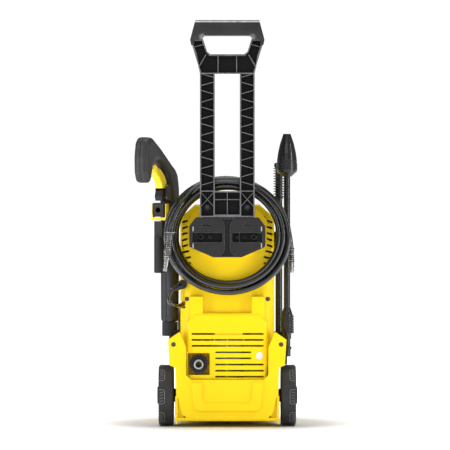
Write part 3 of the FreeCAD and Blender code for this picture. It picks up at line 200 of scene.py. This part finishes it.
def plastic(name, colour, rough=0.4, grain=0.25, edge=0.0, edge_colour=None, edge_radius=0.8, variation=0.06,
            specular=0.25, coat=0.0):
    """Moulded plastic: faint flow marks, fine grain in the bump, and edges painted lighter in edge_colour as
    a painted highlight.
    """
    shader = Shader(name)
    cloudy = shader.scaled(shader.noise(14, 4), 0.3, 0.7, 0, 1)
    base = shader.blend(cloudy, tinted(colour, 1 - variation), tinted(colour, 1 + variation * 0.6))
    dust = shader.scaled(shader.noise(420, 2), 0.66, 0.8, 0, 0.12)
    base = shader.blend(dust, base, tinted(colour, 1.6))
    mask, normal = shader.edges(edge_radius * MM)
    # Painted highlight: the edge mask, made uneven by noise, lightens every edge towards edge_colour.
    if edge:
        painted_highlight = shader.maths("MULTIPLY", mask, shader.scaled(shader.noise(90, 3), 0.25, 0.6, 0.55, 1.0))
        base = shader.blend(shader.maths("MULTIPLY", painted_highlight, edge), base, edge_colour)
    patchy = shader.scaled(shader.noise(55, 4), 0.3, 0.7, rough - 0.05, rough + 0.07)
    shader.set(Base_Color=base, Roughness=patchy, Specular_IOR_Level=specular)
    shader.set(Coat_Weight=coat, Coat_Roughness=0.15)
    shader.set(Normal=shader.bump(shader.noise(2600, 2), grain, 0.12 * MM, normal))
    return shader.material


def rimmed(name, colour, axis, level, reach, rim_colour, rough=0.34, recess_shade=None):
    """Black plastic with a painted highlight on its raised rims, nearest to a level on an axis, and
    optionally painted shade in a deeper band.
    """
    shader = Shader(name)
    cloudy = shader.scaled(shader.noise(14, 4), 0.3, 0.7, 0, 1)
    base = shader.blend(cloudy, tinted(colour, 0.85), tinted(colour, 1.2))
    depth = shader.coordinate(axis)
    # Painted shade: points in the given deeper band are darkened to the given colour.
    if recess_shade:
        recess_shade_mask = shader.scaled(depth, level + recess_shade[0], level + recess_shade[1], 0, 1)
        base = shader.blend(recess_shade_mask, base, recess_shade[2])
    mask, normal = shader.edges(0.9 * MM)
    # Painted highlight: the edges, and the rim band nearest the level (made uneven by noise), are lightened
    # towards rim_colour.
    rim = shader.scaled(depth, level + reach[0], level + reach[1], 1, 0)
    lightened = shader.maths("MULTIPLY", rim, shader.scaled(shader.noise(70, 3), 0.25, 0.6, 0.6, 1.0))
    base = shader.blend(shader.maths("MULTIPLY", mask, 0.7), base, rim_colour)
    lit = shader.maths("MULTIPLY", lightened, mask) if recess_shade else lightened
    base = shader.blend(lit, base, rim_colour)
    patchy = shader.scaled(shader.noise(55, 4), 0.3, 0.7, rough - 0.05, rough + 0.07)
    shader.set(Base_Color=base, Roughness=patchy, Specular_IOR_Level=0.22)
    shader.set(Normal=shader.bump(shader.noise(2600, 2), 0.3, 0.12 * MM, normal))
    return shader.material


def rubber(name, colour, rough=0.5):
    """Smooth extruded rubber with a fine bump, light specks and a bloom."""
    shader = Shader(name)
    bloom = shader.scaled(shader.noise(60, 5), 0.35, 0.75, 0, 1)
    base = shader.blend(bloom, tinted(colour, 0.85), tinted(colour, 1.35))
    specks = shader.scaled(shader.noise(900, 2), 0.68, 0.8, 0, 0.25)
    base = shader.blend(specks, base, tinted(colour, 2.5))
    patchy = shader.scaled(shader.noise(110, 3), 0.3, 0.7, rough - 0.08, rough + 0.08)
    shader.set(Base_Color=base, Roughness=patchy)
    shader.set(Specular_IOR_Level=0.6, Coat_Weight=0.6, Coat_Roughness=0.1)
    shader.set(Normal=shader.bump(shader.noise(1500, 3), 0.12, 0.03 * MM))
    return shader.material


def metal(name, colour, rough, brushed=(1, 1, 1), tarnish=None):
    """Turned or cast metal: fine machining marks, slight tarnish, and edges painted brighter, partly for edge
    wear and partly as a painted highlight.
    """
    shader = Shader(name)
    marks = shader.noise(900, 3, 0.6, shader.stretched(brushed))
    stain = shader.scaled(shader.noise(80, 4), 0.4, 0.75, 0, 0.5)
    base = shader.blend(stain, colour, tarnish or tinted(colour, 0.6))
    mask, normal = shader.edges(0.5 * MM)
    # Edges painted brighter: partly edge wear, partly painted highlight.
    base = shader.blend(shader.maths("MULTIPLY", mask, 0.5), base, tinted(colour, 1.5))
    uneven = shader.scaled(marks, 0.3, 0.7, rough - 0.07, rough + 0.1)
    shader.set(Base_Color=base, Metallic=1.0, Roughness=uneven)
    shader.set(Normal=shader.bump(marks, 0.15, 0.06 * MM, normal))
    return shader.material


# ---------------------------------------------------------------- materials

YELLOW = (0.98, 0.70, 0.001)
BLACK = (0.0085, 0.0085, 0.009)
EDGE_HIGHLIGHT_GREY = (0.32, 0.32, 0.33)

# The edge and edge_colour of each plastic paint a highlight along its edges, in pale yellow or grey.
MATERIALS = {
    "yellow_casing": plastic("yellow casing plastic", YELLOW, rough=0.36, grain=0.10, variation=0.03,
                             edge=0.25, edge_colour=(1.0, 0.84, 0.12), edge_radius=1.0),
    "yellow_trim": plastic("yellow trim plastic", (0.98, 0.72, 0.001), rough=0.28, grain=0.06, variation=0.03,
                           edge=0.2, edge_colour=(1.0, 0.86, 0.15), coat=0.2),
    "black_plastic": plastic("black moulded plastic", BLACK, rough=0.34, grain=0.3, edge=0.75,
                             edge_colour=EDGE_HIGHLIGHT_GREY, edge_radius=0.9),
    "grey_grip": plastic("dark grey soft grip", (0.022, 0.022, 0.023), rough=0.5, grain=0.5, edge=0.35,
                         edge_colour=(0.16, 0.16, 0.165), edge_radius=0.8),
    "wheel_plastic": plastic("wheel plastic", (0.03, 0.03, 0.031), rough=0.46, grain=0.4, edge=0.5,
                             edge_colour=(0.22, 0.22, 0.225), edge_radius=0.7),
    "lance_plastic": plastic("lance plastic", (0.012, 0.012, 0.013), rough=0.22, grain=0.12, edge=0.4,
                             edge_colour=(0.14, 0.14, 0.145), edge_radius=0.7, specular=0.5),
    "hose_rubber": rubber("hose rubber", (0.004, 0.004, 0.0045), rough=0.2),
    "cord_rubber": rubber("cord rubber", (0.006, 0.006, 0.0065), rough=0.24),
    "steel": metal("turned steel", (0.52, 0.52, 0.54), 0.28, (1, 1, 12)),
    "brass": metal("machined brass", (0.62, 0.44, 0.16), 0.25, (1, 8, 1), (0.35, 0.24, 0.09)),
    "cast_metal": metal("die-cast aluminium", (0.5, 0.51, 0.53), 0.45, (1, 1, 1), (0.33, 0.34, 0.36)),
}
PLUG_METAL = metal("darkened plug metal", (0.3, 0.3, 0.31), 0.22, (1, 1, 8), (0.03, 0.03, 0.032))
# Its edge_colour is a painted highlight on the edges.
GLOSSY_BLACK = plastic("polished black plastic", (0.005, 0.005, 0.0055), rough=0.2, grain=0.1, edge=0.8,
                       edge_colour=(0.5, 0.5, 0.51), edge_radius=0.7, specular=0.5)
HANDLE_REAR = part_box("pull_handle")[0].y
PLATE_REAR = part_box("hose_hook_plate")[0].y
# Painted highlight on the handle's and the plate's rims; painted shade deep in the plate's recess.
HANDLE_BLACK = rimmed("ribbed black plastic", (0.004, 0.004, 0.0045), "Y", HANDLE_REAR, (0.0032, 0.0042),
                      (0.15, 0.15, 0.155))
PLATE_BLACK = rimmed("hook plate plastic", (0.022, 0.022, 0.023), "Y", PLATE_REAR, (0.001, 0.002),
                     (0.2, 0.2, 0.205), rough=0.42, recess_shade=(0.0022, 0.0035, (0.004, 0.004, 0.0045)))
SCREW_STEEL = metal("blackened screw steel", (0.11, 0.11, 0.13), 0.3, (6, 1, 1))


def give(thing, material):
    thing.data.materials.clear()
    thing.data.materials.append(material)


def dress_frame():
    for name, node in NODES.items():
        give(node, MATERIALS[SLOT_OF[name]])
    give(NODES["screws"], SCREW_STEEL)
    give(NODES["pull_handle"], HANDLE_BLACK)
    give(NODES["hose_plugs"], PLUG_METAL)
    give(NODES["cable_gland"], GLOSSY_BLACK)
    give(NODES["hose_bend_sleeves"], ribbed_protector())
    give(NODES["hose_hook_plate"], PLATE_BLACK)


# ---------------------------------------------------------------- mesh helpers

def link_mesh(name, mesh_data, material, body):
    thing = bpy.data.objects.new(name, mesh_data)
    bpy.context.scene.collection.objects.link(thing)
    give(thing, material)
    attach(thing, body)
    return thing


def from_bmesh(name, build, material, body, smooth_angle=35):
    mesh = bpy.data.meshes.new(name)
    build.normal_update()
    build.to_mesh(mesh)
    build.free()
    mesh.shade_smooth()
    mesh.set_sharp_from_angle(angle=math.radians(smooth_angle))
    return link_mesh(name, mesh, material, body)


# ---------------------------------------------------------------- hose and cord

HOSE_LEFT = [(-80, -127, 443), (-93, -135, 424), (-104, -142, 400), (-109.5, -146.5, 378)]
HOSE_RIGHT = [(106, -106, 413), (115, -99, 392), (121, -92.5, 368), (123.5, -89, 345)]
CORD_LEAD = [
    (-107, -101, 264), (-113, -103, 254), (-113.5, -104.5, 243), (-107, -102.5, 235.5), (-97.5, -95, 233.5),
    (-90, -80, 235), (-86.8, -60, 236.5), (-86.4, -30, 236), (-86.6, 5, 235.5), (-86.4, 40, 236),
    (-88, 72, 235), (-93, 96, 229), (-96, 114, 212), (-96, 124, 184), (-94, 128, 150), (-92, 129.5, 110),
    (-88, 130, 70),
    (-82, 133, 40), (-75, 139, 19), (-62, 147, 6.5), (-47, 148.5, 4.5), (-30, 144, 3.7),
]
CORD_TAIL = [(12, 243.5, 22.5), (-18, 245, 20.5), (-48, 243.5, 19)]
HOSE_DIAMETER = 10
CORD_DIAMETER = 7
CORD_COIL_MIDDLE = (0, 190)


def eased(share):
    share = min(1.0, max(0.0, share))
    return share * share * (3 - 2 * share)


def hose_turns():
    """The wound turns: in along the rear layer, back out along the layer next to the casing."""
    centre_z, half_x, half_z = 369, 123, 114.5
    first, last, step = 120, 39 - 5 * 360, 15
    inmost = 0.785
    phases = random.Random(7)
    waves = [(order, phases.uniform(0, math.tau), phases.uniform(0, math.tau)) for order in (1, 2, 3)]
    points = []
    count = (first - last) // step
    for index in range(count + 1):
        share = index / count
        angle = math.radians(first - index * step)
        across_layer = 1 - abs(2 * share - 1)
        size = 1 - (1 - inmost) * across_layer
        size -= 0.035 * (1 - eased(share * 12))
        size -= 0.03 * eased((share - 0.96) / 0.04)
        loose = sum(math.sin(order * angle * 0.5 + phase) / order for order, phase, _ in waves)
        sway = sum(math.sin(order * angle * 0.37 + phase) / order for order, _, phase in waves)
        size += 0.0065 * loose
        depth = -121 + 14 * eased((share - 0.47) / 0.06) + 1.2 * sway
        points.append((half_x * size * math.cos(angle), depth, centre_z + half_z * size * math.sin(angle)))
    return points


def cord_turns():
    """Four layers of four turns. Every turn steps over to the next in the same part of the coil."""
    centre_x, centre_y = CORD_COIL_MIDDLE
    radii = [53, 46, 39, 32]
    order = [radius for layer in range(4) for radius in (radii if layer % 2 == 0 else reversed(radii))]
    start, step = 255, 20
    last = start + 15 * 360 + 170
    points = []
    for angle in range(start, last, step):
        turn, share = divmod((angle - start) / 360, 1)
        turn = int(turn)
        over = eased((share - 0.78) / 0.22)
        after = min(turn + 1, len(order) - 1)
        radius = order[turn] + (order[after] - order[turn]) * over
        height = 3.6 + 7 * (turn // 4 + (after // 4 - turn // 4) * over)
        heading = math.radians(angle)
        points.append((centre_x + radius * math.cos(heading), centre_y + radius * math.sin(heading), height))
    return points


def cord_curve(name, points, diameter, material, body):
    data = bpy.data.curves.new(name, "CURVE")
    data.dimensions = "3D"
    data.bevel_depth = diameter / 2 * MM
    data.bevel_resolution = 5
    data.use_fill_caps = True
    spline = data.splines.new("NURBS")
    spline.points.add(len(points) - 1)
    for point, place in zip(spline.points, points):
        point.co = (*at(*place), 1)
    spline.order_u = 3
    spline.use_endpoint_u = True
    spline.resolution_u = 8
    thing = bpy.data.objects.new(name, data)
    bpy.context.scene.collection.objects.link(thing)
    give(thing, material)
    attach(thing, body)
    return thing


def make_hose():
    route = list(reversed(HOSE_LEFT)) + hose_turns() + HOSE_RIGHT
    rubber_skin = MATERIALS["hose_rubber"]
    hose = cord_curve("pressure_hose", route, HOSE_DIAMETER, rubber_skin, "machine")
    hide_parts("hose_coil", "hose_tail_left", "hose_tail_right")


def make_mains_cord():
    route = CORD_LEAD + cord_turns() + CORD_TAIL
    cord = cord_curve("mains_cord", route, CORD_DIAMETER, MATERIALS["cord_rubber"], "machine")
    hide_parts("mains_cord_lead", "mains_cord_coil", "mains_cord_tail")


# ---------------------------------------------------------------- added pieces

WHEEL_RADIUS = (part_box("wheel_left")[1].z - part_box("wheel_left")[0].z) / 2 / MM
AXLE = (-55, 59)
RIDGE_GREY = plastic("scuffed tread", (0.2, 0.2, 0.205), rough=0.4, grain=0.4, variation=0.2)


def strip(build, path, half_width, low, high, place):
    """A raised strip along a path. place(first, second, height) gives the point in space."""
    rows = []
    for index, (first, second) in enumerate(path):
        before = Vector(path[max(index - 1, 0)])
        after = Vector(path[min(index + 1, len(path) - 1)])
        way = (after - before).normalized()
        across = Vector((-way.y, way.x)) * half_width
        row = []
        for side, height in ((1, low), (0.7, high), (-0.7, high), (-1, low)):
            row.append(build.verts.new(place(first + across.x * side, second + across.y * side, height)))
        rows.append(row)
    for near, far in zip(rows, rows[1:]):
        for index in range(3):
            build.faces.new((near[index], far[index], far[index + 1], near[index + 1]))
    for row in (rows[0], list(reversed(rows[-1]))):
        build.faces.new(row)


def make_treads():
    """Moulded marks round each tyre: a ridge open to the outer side with short bars inside."""
    groups, inner, outer = 8, 121, 131.4
    for body, side in (("wheel_left", -1), ("wheel_right", 1)):
        build = bmesh.new()
        for group in range(groups):
            middle = math.pi + math.tau * group / groups

            def place(across, round_it, height, middle=middle, side=side):
                angle = middle + round_it / WHEEL_RADIUS
                reach = WHEEL_RADIUS + height
                return at(side * across, AXLE[0] + reach * math.cos(angle), AXLE[1] + reach * math.sin(angle))

            ridge = [(outer, 14), (inner + 4, 14), (inner + 1.2, 12.8), (inner, 10), (inner, 3), (inner, -3),
                     (inner, -10), (inner + 1.2, -12.8), (inner + 4, -14), (outer, -14)]
            strip(build, ridge, 0.65, -0.3, 0.4, place)
            for bar in (-8.4, -2.8, 2.8, 8.4):
                slanted = [(inner + 3.4, bar - 1.4), (inner + 6, bar), (outer - 1.4, bar + 1.4)]
                strip(build, slanted, 0.6, -0.3, 0.35, place)
        bmesh.ops.recalc_face_normals(build, faces=build.faces)
        from_bmesh(f"{body}_tread", build, RIDGE_GREY, body)


def smooth_gun():
    """Both gun halves as one softly rounded moulding, with the split line kept as a groove."""
    joined = bmesh.new()
    for name in ("gun_shell_left", "gun_shell_right"):
        copy = NODES[name].data.copy()
        copy.transform(NODES[name].matrix_world)
        joined.from_mesh(copy)
        bpy.data.meshes.remove(copy)
    bmesh.ops.remove_doubles(joined, verts=joined.verts, dist=0.05 * MM)
    mesh = bpy.data.meshes.new("gun_moulding")
    joined.to_mesh(mesh)
    joined.free()
    gun = link_mesh("gun_moulding", mesh, gun_material(), "gun")
    remesh = gun.modifiers.new("even skin", "REMESH")
    remesh.mode = "VOXEL"
    remesh.voxel_size = 1.3 * MM
    remesh.use_smooth_shade = True
    melt = gun.modifiers.new("soft corners", "SMOOTH")
    melt.factor = 0.6
    melt.iterations = 26
    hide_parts("gun_shell_left", "gun_shell_right")


def ribbed_protector():
    """Black bend protector whose moulded ribs get a painted highlight on their crests."""
    shader = Shader("ribbed bend protector")
    turns = shader.maths("FRACT", shader.maths("DIVIDE", shader.coordinate("Z"), 4.2 * MM))
    crest = shader.scaled(shader.maths("ABSOLUTE", shader.maths("SUBTRACT", turns, 0.5)), 0.17, 0.25, 1, 0)
    # Painted highlight: the crests, made uneven by noise, are painted light grey.
    crest_highlight = shader.maths("MULTIPLY", crest, shader.scaled(shader.noise(160, 3), 0.4, 0.62, 0.15, 1))
    base = shader.blend(crest_highlight, (0.004, 0.004, 0.0045), (0.34, 0.34, 0.35))
    shader.set(Base_Color=base, Roughness=shader.scaled(shader.noise(300, 2), 0.3, 0.7, 0.16, 0.3))
    shader.set(Specular_IOR_Level=0.6, Coat_Weight=0.4, Coat_Roughness=0.1)
    shader.set(Normal=shader.bump(crest, 0.4, 0.3 * MM))
    return shader.material


def gun_material():
    shader = Shader("gun grip plastic")
    normal = Vector((math.cos(math.radians(26)), -math.sin(math.radians(26)), 0))
    off_seam = shader.maths("ABSOLUTE", shader.along(normal, at(-112, -40, 400)))
    seam = shader.scaled(off_seam, 0.5 * MM, 1.0 * MM, 1, 0)
    cloudy = shader.scaled(shader.noise(16, 4), 0.3, 0.7, 0, 1)
    base = shader.blend(cloudy, (0.022, 0.022, 0.023), (0.03, 0.03, 0.031))
    base = shader.blend(seam, base, (0.002, 0.002, 0.002))
    shader.set(Base_Color=base, Roughness=shader.scaled(shader.noise(60, 4), 0.3, 0.7, 0.4, 0.52))
    shader.set(Specular_IOR_Level=0.35)
    grain = shader.bump(shader.noise(1700, 2), 0.35, 0.15 * MM)
    shader.set(Normal=shader.bump(shader.maths("SUBTRACT", 1.0, seam), 1.0, 0.5 * MM, grain))
    return shader.material


def boxes(name, blocks, bevel, material, body):
    """Rounded blocks, each (centre, size, turn about the vertical), as one piece."""
    build = bmesh.new()
    for centre, size, turn in blocks:
        made = bmesh.ops.create_cube(build, size=1)["verts"]
        bmesh.ops.scale(build, vec=Vector(size) * MM, verts=made)
        spin = Matrix.Rotation(math.radians(turn), 3, "Z")
        bmesh.ops.rotate(build, cent=(0, 0, 0), matrix=spin, verts=made)
        bmesh.ops.translate(build, vec=at(*centre), verts=made)
    bmesh.ops.bevel(build, geom=build.edges[:], offset=bevel * MM, segments=3, profile=0.5, affect="EDGES")
    return from_bmesh(name, build, material, body)


def turned(name, profile, centre, axis, material, body, steps=48, ripple=None):
    """A turned piece: profile of (distance along the axis, radius), radius changed by ripple(angle)."""
    build = bmesh.new()
    rings = []
    for step in range(steps):
        angle = math.tau * step / steps
        factor = ripple(angle) if ripple else 1
        ring = []
        for reach, radius in profile:
            one, two = radius * factor * math.cos(angle), radius * factor * math.sin(angle)
            offset = {"x": (reach, one, two), "y": (one, reach, two), "z": (one, two, reach)}[axis]
            ring.append(build.verts.new(at(*[place + move for place, move in zip(centre, offset)])))
        rings.append(ring)
    for near, far in zip(rings, rings[1:] + rings[:1]):
        for index in range(len(profile) - 1):
            build.faces.new((near[index], near[index + 1], far[index + 1], far[index]))
        build.faces.new((near[-1], near[0], far[0], far[-1]))
    bmesh.ops.recalc_face_normals(build, faces=build.faces)
    return from_bmesh(name, build, material, body)


GRIP_LOW, GRIP_HAND, GRIP_HIGH = 744.5, 752.8, 782.6
GRIP_REAR, GRIP_FRONT = -154.6, -126.4
GRIP_FOOT, GRIP_TOP = 71.4, 61.2


def grip_material():
    """Dark soft plastic with a painted highlight in a band under the top edge and in the lower corners."""
    shader = Shader("worn soft grip")
    up = shader.coordinate("Z")
    # Painted highlight: a light band under the top edge and light patches at the lower corners.
    band_start = shader.scaled(up, 777.7 * MM, 778.3 * MM, 0, 1)
    band_end = shader.scaled(up, 780.6 * MM, 781.2 * MM, 1, 0)
    painted_highlight = shader.maths("MULTIPLY", band_start, band_end)
    for side in (-1, 1):
        from_corner = shader.length_from(at(side * 48, GRIP_REAR, 750))
        painted_highlight = shader.maths("MAXIMUM", painted_highlight, shader.scaled(from_corner, 1 * MM, 9 * MM, 0.4, 0, smooth=True))
    painted_highlight = shader.maths("MULTIPLY", painted_highlight, shader.scaled(shader.noise(120, 4), 0.3, 0.6, 0.55, 1))
    clouds = shader.scaled(shader.noise(18, 4), 0.3, 0.7, 0, 1)
    cloudy = shader.blend(clouds, (0.013, 0.013, 0.0135), (0.024, 0.024, 0.025))
    shader.set(Base_Color=shader.blend(painted_highlight, cloudy, (0.46, 0.46, 0.47)), Specular_IOR_Level=0.4)
    shader.set(Roughness=shader.scaled(shader.noise(60, 4), 0.3, 0.7, 0.34, 0.46))
    shader.set(Normal=shader.bump(shader.noise(1700, 2), 0.4, 0.15 * MM))
    return shader.material


def slab(build, outline, rear, front):
    """A closed prism between two depths, from an outline of (across, up) points."""
    near = [build.verts.new(at(across, rear, up)) for across, up in outline]
    far = [build.verts.new(at(across, front, up)) for across, up in outline]
    build.faces.new(near)
    build.faces.new(list(reversed(far)))
    for index in range(len(outline)):
        after = (index + 1) % len(outline)
        build.faces.new((near[after], near[index], far[index], far[after]))
    bmesh.ops.recalc_face_normals(build, faces=build.faces)


def make_handle_cover():
    """The soft hand grip: a moulded bar with a rounded top edge carrying a painted highlight, and cuffs that
    close over the arms.
    """
    outline = [(-GRIP_FOOT, GRIP_LOW), (-48.4, GRIP_LOW), (-46.6, GRIP_HAND - 2.5), (-43, GRIP_HAND),
               (43, GRIP_HAND), (46.6, GRIP_HAND - 2.5), (48.4, GRIP_LOW), (GRIP_FOOT, GRIP_LOW),
               (GRIP_TOP, GRIP_HIGH), (-GRIP_TOP, GRIP_HIGH)]
    build = bmesh.new()
    slab(build, outline, GRIP_REAR, GRIP_FRONT)
    near_top = at(0, 0, GRIP_HIGH - 1).z
    top = [edge for edge in build.edges if all(vert.co.z > near_top for vert in edge.verts)
           and abs(edge.verts[0].co.x - edge.verts[1].co.x) > 50 * MM]
    bmesh.ops.bevel(build, geom=top, offset=5 * MM, segments=4, profile=0.5, affect="EDGES")
    sharp = [edge for edge in build.edges if edge.calc_face_angle(0) > 0.5]
    bmesh.ops.bevel(build, geom=sharp, offset=0.9 * MM, segments=2, profile=0.5, affect="EDGES")
    for side in (-1, 1):
        cuff_top = GRIP_LOW + 0.4
        cuff = [(side * GRIP_FOOT, cuff_top), (side * 69.2, 735), (side * 63.6, 735), (side * 62.6, cuff_top)]
        slab(build, cuff, GRIP_REAR + 1, GRIP_FRONT - 1)
    grip = from_bmesh("soft_hand_grip", build, grip_material(), "machine")
    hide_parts("handle_grip")


def make_vario_head():
    """The twist sleeve with its ribs, from the lance's tube outwards."""
    head = [(441, 5.9), (441, 8.4), (443, 8.4)]
    for level in range(444, 500, 5):
        head += [(level, 7), (level + 0.5, 10.7), (level + 2.3, 10.7), (level + 2.8, 7)]
    head += [(503, 8.6), (504, 9.6), (508, 9.6), (511, 8.6), (511, 5.9)]
    lance = MATERIALS["lance_plastic"]
    sleeve = turned("vario_head", head, (101, -24, 0), "z", lance, "vario_sleeve")
    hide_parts("vario_sleeve")


def make_lance_grip_ribs():
    ribs = [((122.8, -71, level), (12.4, 5, 2.7), 0) for level in range(183, 218, 5)]
    boxes("lance_grip_ribs", ribs, 0.5, MATERIALS["lance_plastic"], "jet_lance")


def make_plate_highlight_blocks():
    # Painted highlight: pale grey blocks standing in for the highlights at the corners of the plate's recess.
    highlight_grey = plastic("worn light plastic", (0.42, 0.42, 0.43), rough=0.35, grain=0.2)
    highlight_blocks = [((side * 65.5, -150.2, up), (2.2, 1.2, 9), 0) for side in (-1, 1) for up in (382.5, 350.5)]
    boxes("plate_highlight_blocks", highlight_blocks, 0.4, highlight_grey, "machine")


def make_cord_clip():
    """The block that holds the mains cord in the groove between the casing's two halves."""
    block = ((-85.6, 30, 236), (10.2, 6, 13.6), 0)
    boxes("cord_clip", [block], 0.6, MATERIALS["yellow_casing"], "machine")


def make_blank_label():
    white = plastic("blank paper label", (0.78, 0.78, 0.79), rough=0.6, grain=0.1, variation=0.1)
    disc = [(-110.25, 0.01), (-110.35, 6.6), (-110.2, 7), (-109.8, 7), (-109.7, 0.01)]
    turned("blank_label", disc, (62, 0, 138), "y", white, "machine")


def make_inlet_details():
    """The finger ribs of the inlet's nut and the steel ring of its spout."""
    inlet, rib_count, rib_depth = (-55, 0, 122), 20, 0.03
    nut = [(-112.5, 13.8), (-112.5, 17.2), (-111, 18), (-100, 18), (-98.5, 17.2), (-98.5, 13.8)]
    black = MATERIALS["black_plastic"]
    turned("inlet_nut_ribs", nut, inlet, "y", black, "machine", steps=120,
           ripple=lambda angle: 1 + rib_depth * math.copysign(1, math.sin(rib_count * angle)))
    ring = [(-132.6, 6.4), (-132.6, 8.6), (-131.8, 9.3), (-127, 9.3), (-127, 8.9), (-131, 6.4)]
    turned("inlet_ring", ring, inlet, "y", MATERIALS["steel"], "machine")


def make_cone_rings():
    for level, radius in ((508.6, 20.35), (497.6, 20.3), (515.6, 19.6)):
        ring = [(-0.7, radius - 1), (-0.6, radius), (0.6, radius), (0.7, radius - 1)]
        lance = MATERIALS["lance_plastic"]
        turned(f"cone_ring_{int(level)}", ring, (116, -62, level), "z", lance, "jet_lance")


def make_cord_tie():
    """The flat tie round one side of the put-away coil."""
    middle, half_width, thick = CORD_COIL_MIDDLE[1], 2.4, 1.2
    build = bmesh.new()
    rows = []
    for radius, up in ((26, 0.6), (58, 0.6), (58, 29.6), (26, 29.6)):
        outside = radius + (thick if radius > 40 else -thick)
        above = up + (thick if up > 10 else 0)
        rows.append([
            build.verts.new(at(radius, middle - half_width, up)),
            build.verts.new(at(radius, middle + half_width, up)),
            build.verts.new(at(outside, middle + half_width, above)),
            build.verts.new(at(outside, middle - half_width, above)),
        ])
    for near, far in zip(rows, rows[1:] + rows[:1]):
        for index in range(4):
            after = (index + 1) % 4
            build.faces.new((near[index], near[after], far[after], far[index]))
    bmesh.ops.recalc_face_normals(build, faces=build.faces)
    bmesh.ops.bevel(build, geom=build.edges[:], offset=0.5 * MM, segments=2, profile=0.5, affect="EDGES")
    from_bmesh("cord_tie", build, MATERIALS["black_plastic"], "machine")


# ---------------------------------------------------------------- stage and light

def make_floor():
    shader = Shader("studio floor")
    soft = shader.scaled(shader.noise(3, 3), 0.3, 0.7, 0.86, 0.88)
    grey = shader.tree.nodes.new("ShaderNodeCombineColor")
    for socket in grey.inputs[:3]:
        shader.link(soft, socket)
    shader.set(Base_Color=grey.outputs[0], Roughness=0.75, Specular_IOR_Level=0.2)
    # Painted light: the floor glows, from nothing within 0.16 m of the machine up to 0.85 beyond 0.36 m,
    # keeping it white away from the machine and bounding the contact shadow.
    bright = shader.scaled(shader.length_from(at(0, 10, 0)), 0.16, 0.36, 0, 0.85, smooth=True)
    shader.set(Emission_Color=(1, 1, 1), Emission_Strength=bright)
    mesh = bpy.data.meshes.new("floor")
    reach = 30  # metres, so that the floor meets the white background far away
    corners = [(-reach, -reach, 0), (reach, -reach, 0), (reach, reach, 0), (-reach, reach, 0)]
    mesh.from_pydata(corners, [], [(0, 1, 2, 3)])
    floor = bpy.data.objects.new("floor", mesh)
    bpy.context.scene.collection.objects.link(floor)
    give(floor, shader.material)


def area_light(name, place, aim, width, height, power):
    data = bpy.data.lights.new(name, "AREA")
    data.shape = "RECTANGLE"
    data.size = width
    data.size_y = height
    data.energy = power
    light = bpy.data.objects.new(name, data)
    light.location = place
    light.rotation_euler = (Vector(aim) - Vector(place)).to_track_quat("-Z", "Y").to_euler()
    light.visible_camera = False
    bpy.context.scene.collection.objects.link(light)


def make_light():
    scene = bpy.context.scene
    scene.view_settings.view_transform = "Standard"
    world = bpy.data.worlds.new("studio")
    world.use_nodes = True
    scene.world = world
    tree = world.node_tree
    sky = tree.nodes["Background"]
    sky.inputs["Color"].default_value = (1, 1, 1, 1)
    path = tree.nodes.new("ShaderNodeLightPath")
    strength = tree.nodes.new("ShaderNodeMapRange")
    strength.inputs["To Min"].default_value = 0.24
    strength.inputs["To Max"].default_value = 1.05
    tree.links.new(path.outputs["Is Camera Ray"], strength.inputs["Value"])
    tree.links.new(strength.outputs["Result"], sky.inputs["Strength"])
    middle = at(0, 0, 400)
    for name, side in (("strip_left", -1), ("strip_right", 1)):
        area_light(name, middle + Vector((side * 1.15, -0.75, 0.0)), middle, 0.09, 1.5, 8)
    area_light("overhead", middle + Vector((0, -0.1, 1.9)), middle, 2.2, 2.2, 36)
    area_light("front_soft", middle + Vector((-0.3, -2.6, 1.5)), middle, 1.8, 1.2, 10)


# ---------------------------------------------------------------- everything

make_camera()
dress_frame()
make_hose()
make_mains_cord()
smooth_gun()
make_handle_cover()
make_treads()
make_vario_head()
make_lance_grip_ribs()
make_plate_highlight_blocks()
make_cord_clip()
make_blank_label()
make_inlet_details()
make_cone_rings()
make_cord_tie()
make_floor()
make_light()
